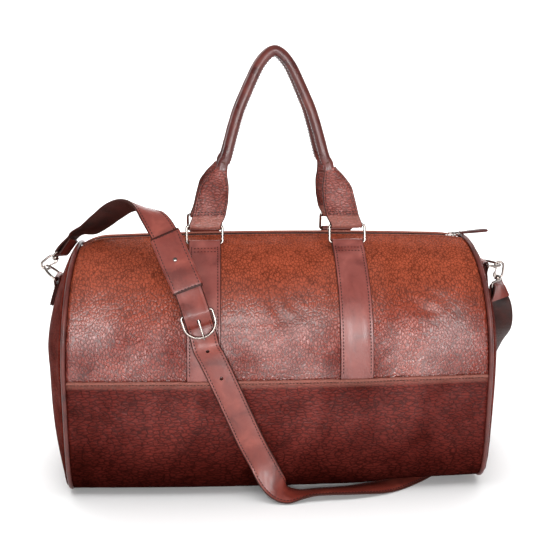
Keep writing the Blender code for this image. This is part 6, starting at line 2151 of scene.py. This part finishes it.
def leather(name, tones, grain, depth, gloss, pull, painted_shade, shines, top_painted_light, painted_highlight):
    """Pebbled leather: drawn-out domed cells, crease lines, cloudy dye, shine on the tops.

    gloss is roughness, specular share and film strength; pull draws the cells out down the
    bag; the shade and shine stops run over the bag's height, the shade stops darkening the
    colour lower down as painted shade; the top colour is painted light that lightens the upper
    part; the highlight entry names an axis, a scale and the stops along it where a pale
    painted highlight is laid along a folded edge.
    """
    finish = Finish(name)
    dark, middle, light = tones
    roughness, specular, film_strength = gloss
    place = finish.warped(GRAIN_WARP / grain, grain * 0.3)
    split = finish.add("ShaderNodeSeparateXYZ", Vector=finish.place)
    rise = finish.math("MULTIPLY", split.outputs["Z"], 1.0 / HEIGHT)
    patch = finish.noise(PATCH_SCALE, 5.0, distortion=0.5)
    mottle = finish.noise(grain * MOTTLE_share, 4.0, roughness=0.7)
    region = finish.grey(finish.noise(REGION_SCALE, 2.0), [(0.44, 0.0), (0.56, 1.0)])
    leans = []
    for lean in GRAIN_LEANS:
        turned = finish.mapped(place, Rotation=(0.0, lean, 0.0), Scale=pull)
        leans.append(finish.grey(finish.cells(grain, turned), [(0.0, 0.0), (0.26, 1.0)]))
    pebble = finish.mix(region, *leans)
    grit = finish.noise(grain * GRIT_share, 2.0)
    colour = finish.ramp(patch, [(0.32, dark), (0.50, middle), (0.70, light)])
    # Painted light: the upper part is painted lighter and more orange
    if top_painted_light is not None:
        colour = finish.mix(finish.grey(rise, [(0.60, 0.0), (0.92, 0.8)]), colour, top_painted_light)
    wander = finish.math("SUBTRACT", finish.noise(LINE_SCALE, 4.0, distortion=1.2), 0.5)
    crease = finish.grey(finish.math("ABSOLUTE", wander), [(0.0, 0.0), (0.035, 1.0)])
    # Multiplied into the colour: the dye's mottle, then painted shade and highlight, with the
    # cells' valleys darker and their tops a little lighter, the crease lines darker and the
    # colour darker lower down
    for value, stops in (
        (mottle, [(0.30, 0.88), (0.70, 1.12)]),
        (pebble, [(0.0, VALLEY_SHADE), (0.60, 1.08)]),
        (crease, [(0.0, 0.80), (1.0, 1.0)]),
        (rise, painted_shade),
    ):
        colour = finish.mix(1.0, colour, finish.grey(value, stops), "MULTIPLY")
    # Painted highlight: a pale band laid along a folded edge
    if painted_highlight is not None:
        axis, scale, stops = painted_highlight
        away = finish.math("MULTIPLY", finish.math("ABSOLUTE", split.outputs[axis]), scale)
        colour = finish.mix(finish.grey(away, stops), colour, PAINTED_HIGHLIGHT_COLOUR)
    stops = [(0.30, roughness + 0.08), (0.70, roughness - 0.06)]
    finish.set(Roughness=finish.grey(mottle, stops))
    held = finish.grey(rise, shines)
    polish = finish.noise(SHEEN_SCALE, 2.0)
    shine = finish.grey(patch, [(0.36, 0.5 * specular), (0.64, 1.4 * specular)])
    shine = finish.mix(1.0, shine, held, "MULTIPLY")
    film = finish.grey(polish, [(0.44, 0.0), (0.60, 0.7 * film_strength)])
    film = finish.mix(1.0, film, held, "MULTIPLY")
    if film_strength > 0.0:
        for x, z, radius, strength in POLISHED:
            centre = (-x / radius, 0.0, -z / radius)
            scale = (1.0 / radius, 0.0, 1.0 / radius)
            away = finish.add("ShaderNodeVectorMath", {"operation": "LENGTH"})
            finish.plug(away, "0", finish.mapped(finish.place, Location=centre, Scale=scale))
            spot = finish.grey(away.outputs["Value"], [(0.15, strength), (1.0, 0.0)])
            film = finish.mix(1.0, film, spot, "ADD")
            dimmed = finish.mix(1.0, spot, (0.4, 0.4, 0.4), "MULTIPLY")
            shine = finish.mix(1.0, shine, dimmed, "ADD")
    index = finish.math("ADD", 1.0, finish.math("MULTIPLY", held, 0.5))
    finish.set(Base_Color=colour, IOR=index, Specular_IOR_Level=shine)
    finish.set(Coat_Weight=film, Coat_Roughness=FILM_ROUGHNESS)
    finish.set(Coat_Normal=finish.bump(pebble, 0.4 * depth, PEBBLE_RELIEF))
    normal = finish.bump(crease, 0.4, LINE_RELIEF)
    normal = finish.bump(pebble, depth, PEBBLE_RELIEF, normal)
    finish.set(Normal=finish.bump(grit, 0.25, FINE_RELIEF, normal))
    return finish.material


def strap_leather(name, tones, gloss, depth, index):
    """Smooth leather: fine pores, cloudy dye and a few long scuffs.

    gloss is roughness, film strength and the film's roughness.
    """
    finish = Finish(name)
    dark, middle, light = tones
    cloud = finish.noise(CLOUD_SCALE, 5.0, distortion=0.5)
    pores = finish.noise(PORE_SCALE, 2.0)
    scuffs = finish.noise(SCUFF_SCALE, 3.0, finish.mapped(finish.place, Scale=(1.0, 1.0, 0.25)))
    colour = finish.ramp(cloud, [(0.30, dark), (0.5, middle), (0.72, light)])
    colour = finish.mix(finish.grey(scuffs, [(0.58, 0.0), (0.8, 0.4)]), colour, light)
    roughness, film, film_roughness = gloss
    finish.set(Base_Color=colour, IOR=index, Specular_IOR_Level=0.65)
    finish.set(Coat_Weight=film, Coat_Roughness=film_roughness)
    finish.set(Roughness=finish.grey(cloud, [(0.3, roughness - 0.06), (0.7, roughness + 0.08)]))
    wrinkles = finish.cells(WRINKLE_SCALE, finish.warped(0.0012, 180.0))
    wrinkles = finish.grey(wrinkles, [(0.0, 0.0), (0.12, 1.0)])
    normal = finish.bump(wrinkles, depth, FINE_RELIEF)
    finish.set(Normal=finish.bump(pores, 0.12, PORE_RELIEF, normal))
    return finish.material


def tinted(colour, share):
    return tuple(min(1.0, c * share) for c in colour)


def paint(name, colour, roughness):
    finish = Finish(name)
    cloud = finish.noise(300.0, 3.0)
    finish.set(Base_Color=finish.mix(cloud, colour, tinted(colour, 1.5)), IOR=1.25)
    finish.set(Roughness=finish.grey(cloud, [(0.3, roughness - 0.05), (0.7, roughness + 0.08)]))
    finish.set(Normal=finish.bump(cloud, 0.2, PORE_RELIEF))
    return finish.material


def thread_finish(name, colour):
    finish = Finish(name)
    twist = finish.bands("DIAGONAL", 900.0)
    shade = finish.grey(twist, [(0.0, 0.55), (1.0, 1.0)])
    finish.set(Base_Color=finish.mix(1.0, colour, shade, "MULTIPLY"), Roughness=0.7)
    finish.set(Normal=finish.bump(twist, 0.5, PORE_RELIEF))
    return finish.material


def polished_nickel(name):
    finish = Finish(name)
    film = finish.noise(70.0, 4.0)
    marks = finish.noise(900.0, 2.0, finish.mapped(finish.place, Scale=(1.0, 0.2, 1.0)))
    colour = finish.ramp(film, [(0.3, NICKEL_DARK), (0.7, NICKEL_LIGHT)])
    finish.set(Base_Color=colour, Metallic=1.0)
    finish.set(Roughness=finish.grey(film, [(0.3, 0.11), (0.7, 0.22)]))
    finish.set(Normal=finish.bump(marks, 0.06, PORE_RELIEF))
    return finish.material


def woven(name, colour, thread_count, roughness):
    """Plain weave from crossed wave bands."""
    finish = Finish(name)
    x, y, z = [finish.bands(axis, thread_count, 0.4) for axis in "XYZ"]
    weave = finish.math("MAXIMUM", finish.math("MAXIMUM", x, y), z)
    cloud = finish.noise(60.0, 3.0)
    shade = finish.grey(weave, [(0.0, WEAVE_SHADE), (1.0, 1.0)])
    tint = finish.mix(cloud, tinted(colour, 0.8), tinted(colour, 1.25))
    finish.set(Base_Color=finish.mix(1.0, tint, shade, "MULTIPLY"), Roughness=roughness)
    finish.set(Sheen_Weight=0.2, Normal=finish.bump(weave, 0.5, FINE_RELIEF))
    return finish.material


def fibre_board(name, colour):
    finish = Finish(name)
    fibres = finish.noise(420.0, 5.0, finish.mapped(finish.place, Scale=(0.3, 1.0, 1.0)))
    tint = finish.mix(fibres, tinted(colour, 0.7), tinted(colour, 1.3))
    finish.set(Base_Color=tint, Roughness=0.85, Normal=finish.bump(fibres, 0.3, 0.0004))
    return finish.material


# Studio


def make_camera():
    data = bpy.data.cameras.new("camera")
    data.sensor_width = SENSOR
    data.lens = LENS
    data.clip_start, data.clip_end = CAMERA_CLIP
    camera = linked("camera", data)
    yaw = math.radians(CAMERA_YAW_DEG)
    pitch = math.radians(CAMERA_PITCH_DEG)
    roll = math.radians(CAMERA_ROLL_DEG)
    level = math.cos(pitch)
    ahead = Vector((math.sin(yaw) * level, math.cos(yaw) * level, -math.sin(pitch)))
    right = Vector((math.cos(yaw), -math.sin(yaw), 0.0))
    up = right.cross(ahead)
    tilted = right * math.cos(roll) + up * math.sin(roll)
    camera.matrix_world = frame_of(CAMERA_PLACE, tilted, tilted.cross(ahead), -ahead)
    bpy.context.scene.camera = camera


def make_stage():
    """Pale floor that curves up into a backdrop far behind the bag."""
    profile = [(FLOOR_NEAR, 0.0)]
    for angle in quarter_turn(12):
        rise = FLOOR_BEND * (1.0 - math.cos(angle))
        profile.append((FLOOR_FAR + FLOOR_BEND * math.sin(angle), rise))
    profile.append((FLOOR_FAR + FLOOR_BEND, BACKDROP_TOP))
    points = [(x, y, z) for y, z in profile for x in (-FLOOR_HALF_WIDTH, FLOOR_HALF_WIDTH)]
    faces = [(2 * i, 2 * i + 1, 2 * i + 3, 2 * i + 2) for i in range(len(profile) - 1)]
    mesh = bpy.data.meshes.new("studio_floor")
    mesh.from_pydata(points, [], faces)
    mesh.shade_smooth()
    finish = Finish("studio_paper")
    darker = tinted(FLOOR_COLOUR, 0.985)
    colour = finish.mix(finish.noise(300.0, 2.0), FLOOR_COLOUR, darker)
    finish.set(Base_Color=colour, Roughness=0.85, Specular_IOR_Level=0.15)
    mesh.materials.append(finish.material)
    floor = linked("studio_floor", mesh)
    floor.location.z = -FLOOR_CLEAR


def soft_box(name, place, aim, size, power, in_shine):
    data = bpy.data.lights.new(name, "AREA")
    data.shape = "RECTANGLE"
    data.size, data.size_y = size
    data.energy = power
    light = linked(name, data)
    light.location = place
    light.rotation_mode = "QUATERNION"
    light.rotation_quaternion = (Vector(aim) - Vector(place)).to_track_quat("-Z", "Y")
    light.visible_glossy = in_shine
    light.visible_camera = False


def make_world():
    world = bpy.data.worlds.new("studio")
    bpy.context.scene.world = world
    world.use_nodes = True
    sky = world.node_tree.nodes["Background"]
    sky.inputs["Color"].default_value = (*WORLD_COLOUR, 1.0)
    sky.inputs["Strength"].default_value = WORLD_STRENGTH
    bpy.context.scene.view_settings.view_transform = "Standard"


def main():
    bag, base, side_leather, tab = [leather(*row) for row in LEATHERS]
    roll, strap, shoulder, flesh, pull, cord = [strap_leather(*row) for row in STRAP_LEATHERS]
    edge = paint("edge_paint", EDGE_COLOUR, 0.42)
    thread = thread_finish("thread", THREAD_COLOUR)
    metal = polished_nickel("nickel")
    cloth = woven("lining_weave", LINING_COLOUR, 260.0, 0.9)
    tape = woven("zip_tape_weave", TAPE_COLOUR, 420.0, 0.85)
    core = woven("cord_core_weave", CORE_COLOUR, 300.0, 0.95)
    board = fibre_board("base_board_fibre", BOARD_COLOUR)

    make_panel("front_skin", "front_panel", -1.0, bag)
    make_panel("back_skin", "back_panel", 1.0, bag)
    make_base(base)
    make_lining(cloth)
    node = frame["nodes"]["base_board"]
    node.data.materials.clear()
    node.data.materials.append(board)
    for end, name in ENDS:
        make_end(end, name, side_leather)
        make_piping(end, name, cord)

    bag_thread = Thread()
    seam_threads(bag_thread)
    for side, name, phase in ((-1.0, "front", 0.0), (1.0, "back", 0.5)):
        make_tape(name, side, tape)
        make_teeth(name, side, phase, metal)
        make_roll(name, side, roll, thread)
        make_core(name, side, core)
        for hand, which in ENDS:
            where = name + "_" + which
            make_body_strap(where, side, hand, [strap, edge], bag_thread)
            make_ring(where, side, hand, metal)
            make_tab(where, side, hand, [tab, edge], thread)
    for end, name in ENDS:
        make_stop(name, end, metal)
    make_slider(metal)
    make_link(metal)
    make_pull(pull, edge, thread)
    for end, name in ENDS:
        make_d_tab(end, name, [shoulder, edge], bag_thread)
        make_d_ring(end, name, metal)
        make_hook(end, name, metal)
        make_gate(end, name, metal)
        make_eye(end, name, metal)
    bag_thread.make("bag_stitches", "bag", [thread], "strap_leather")

    strap_thread = Thread()
    make_short_strap([shoulder, edge, flesh], strap_thread)
    make_long_strap([shoulder, edge, flesh], strap_thread)
    make_sleeve([shoulder, edge], strap_thread, metal)
    strap_thread.make("shoulder_stitches", "bag", [thread], "shoulder_leather")
    make_buckle(metal)

    make_stage()
    make_world()
    for row in SOFT_BOXES:
        soft_box(*row)
    make_camera()


main()
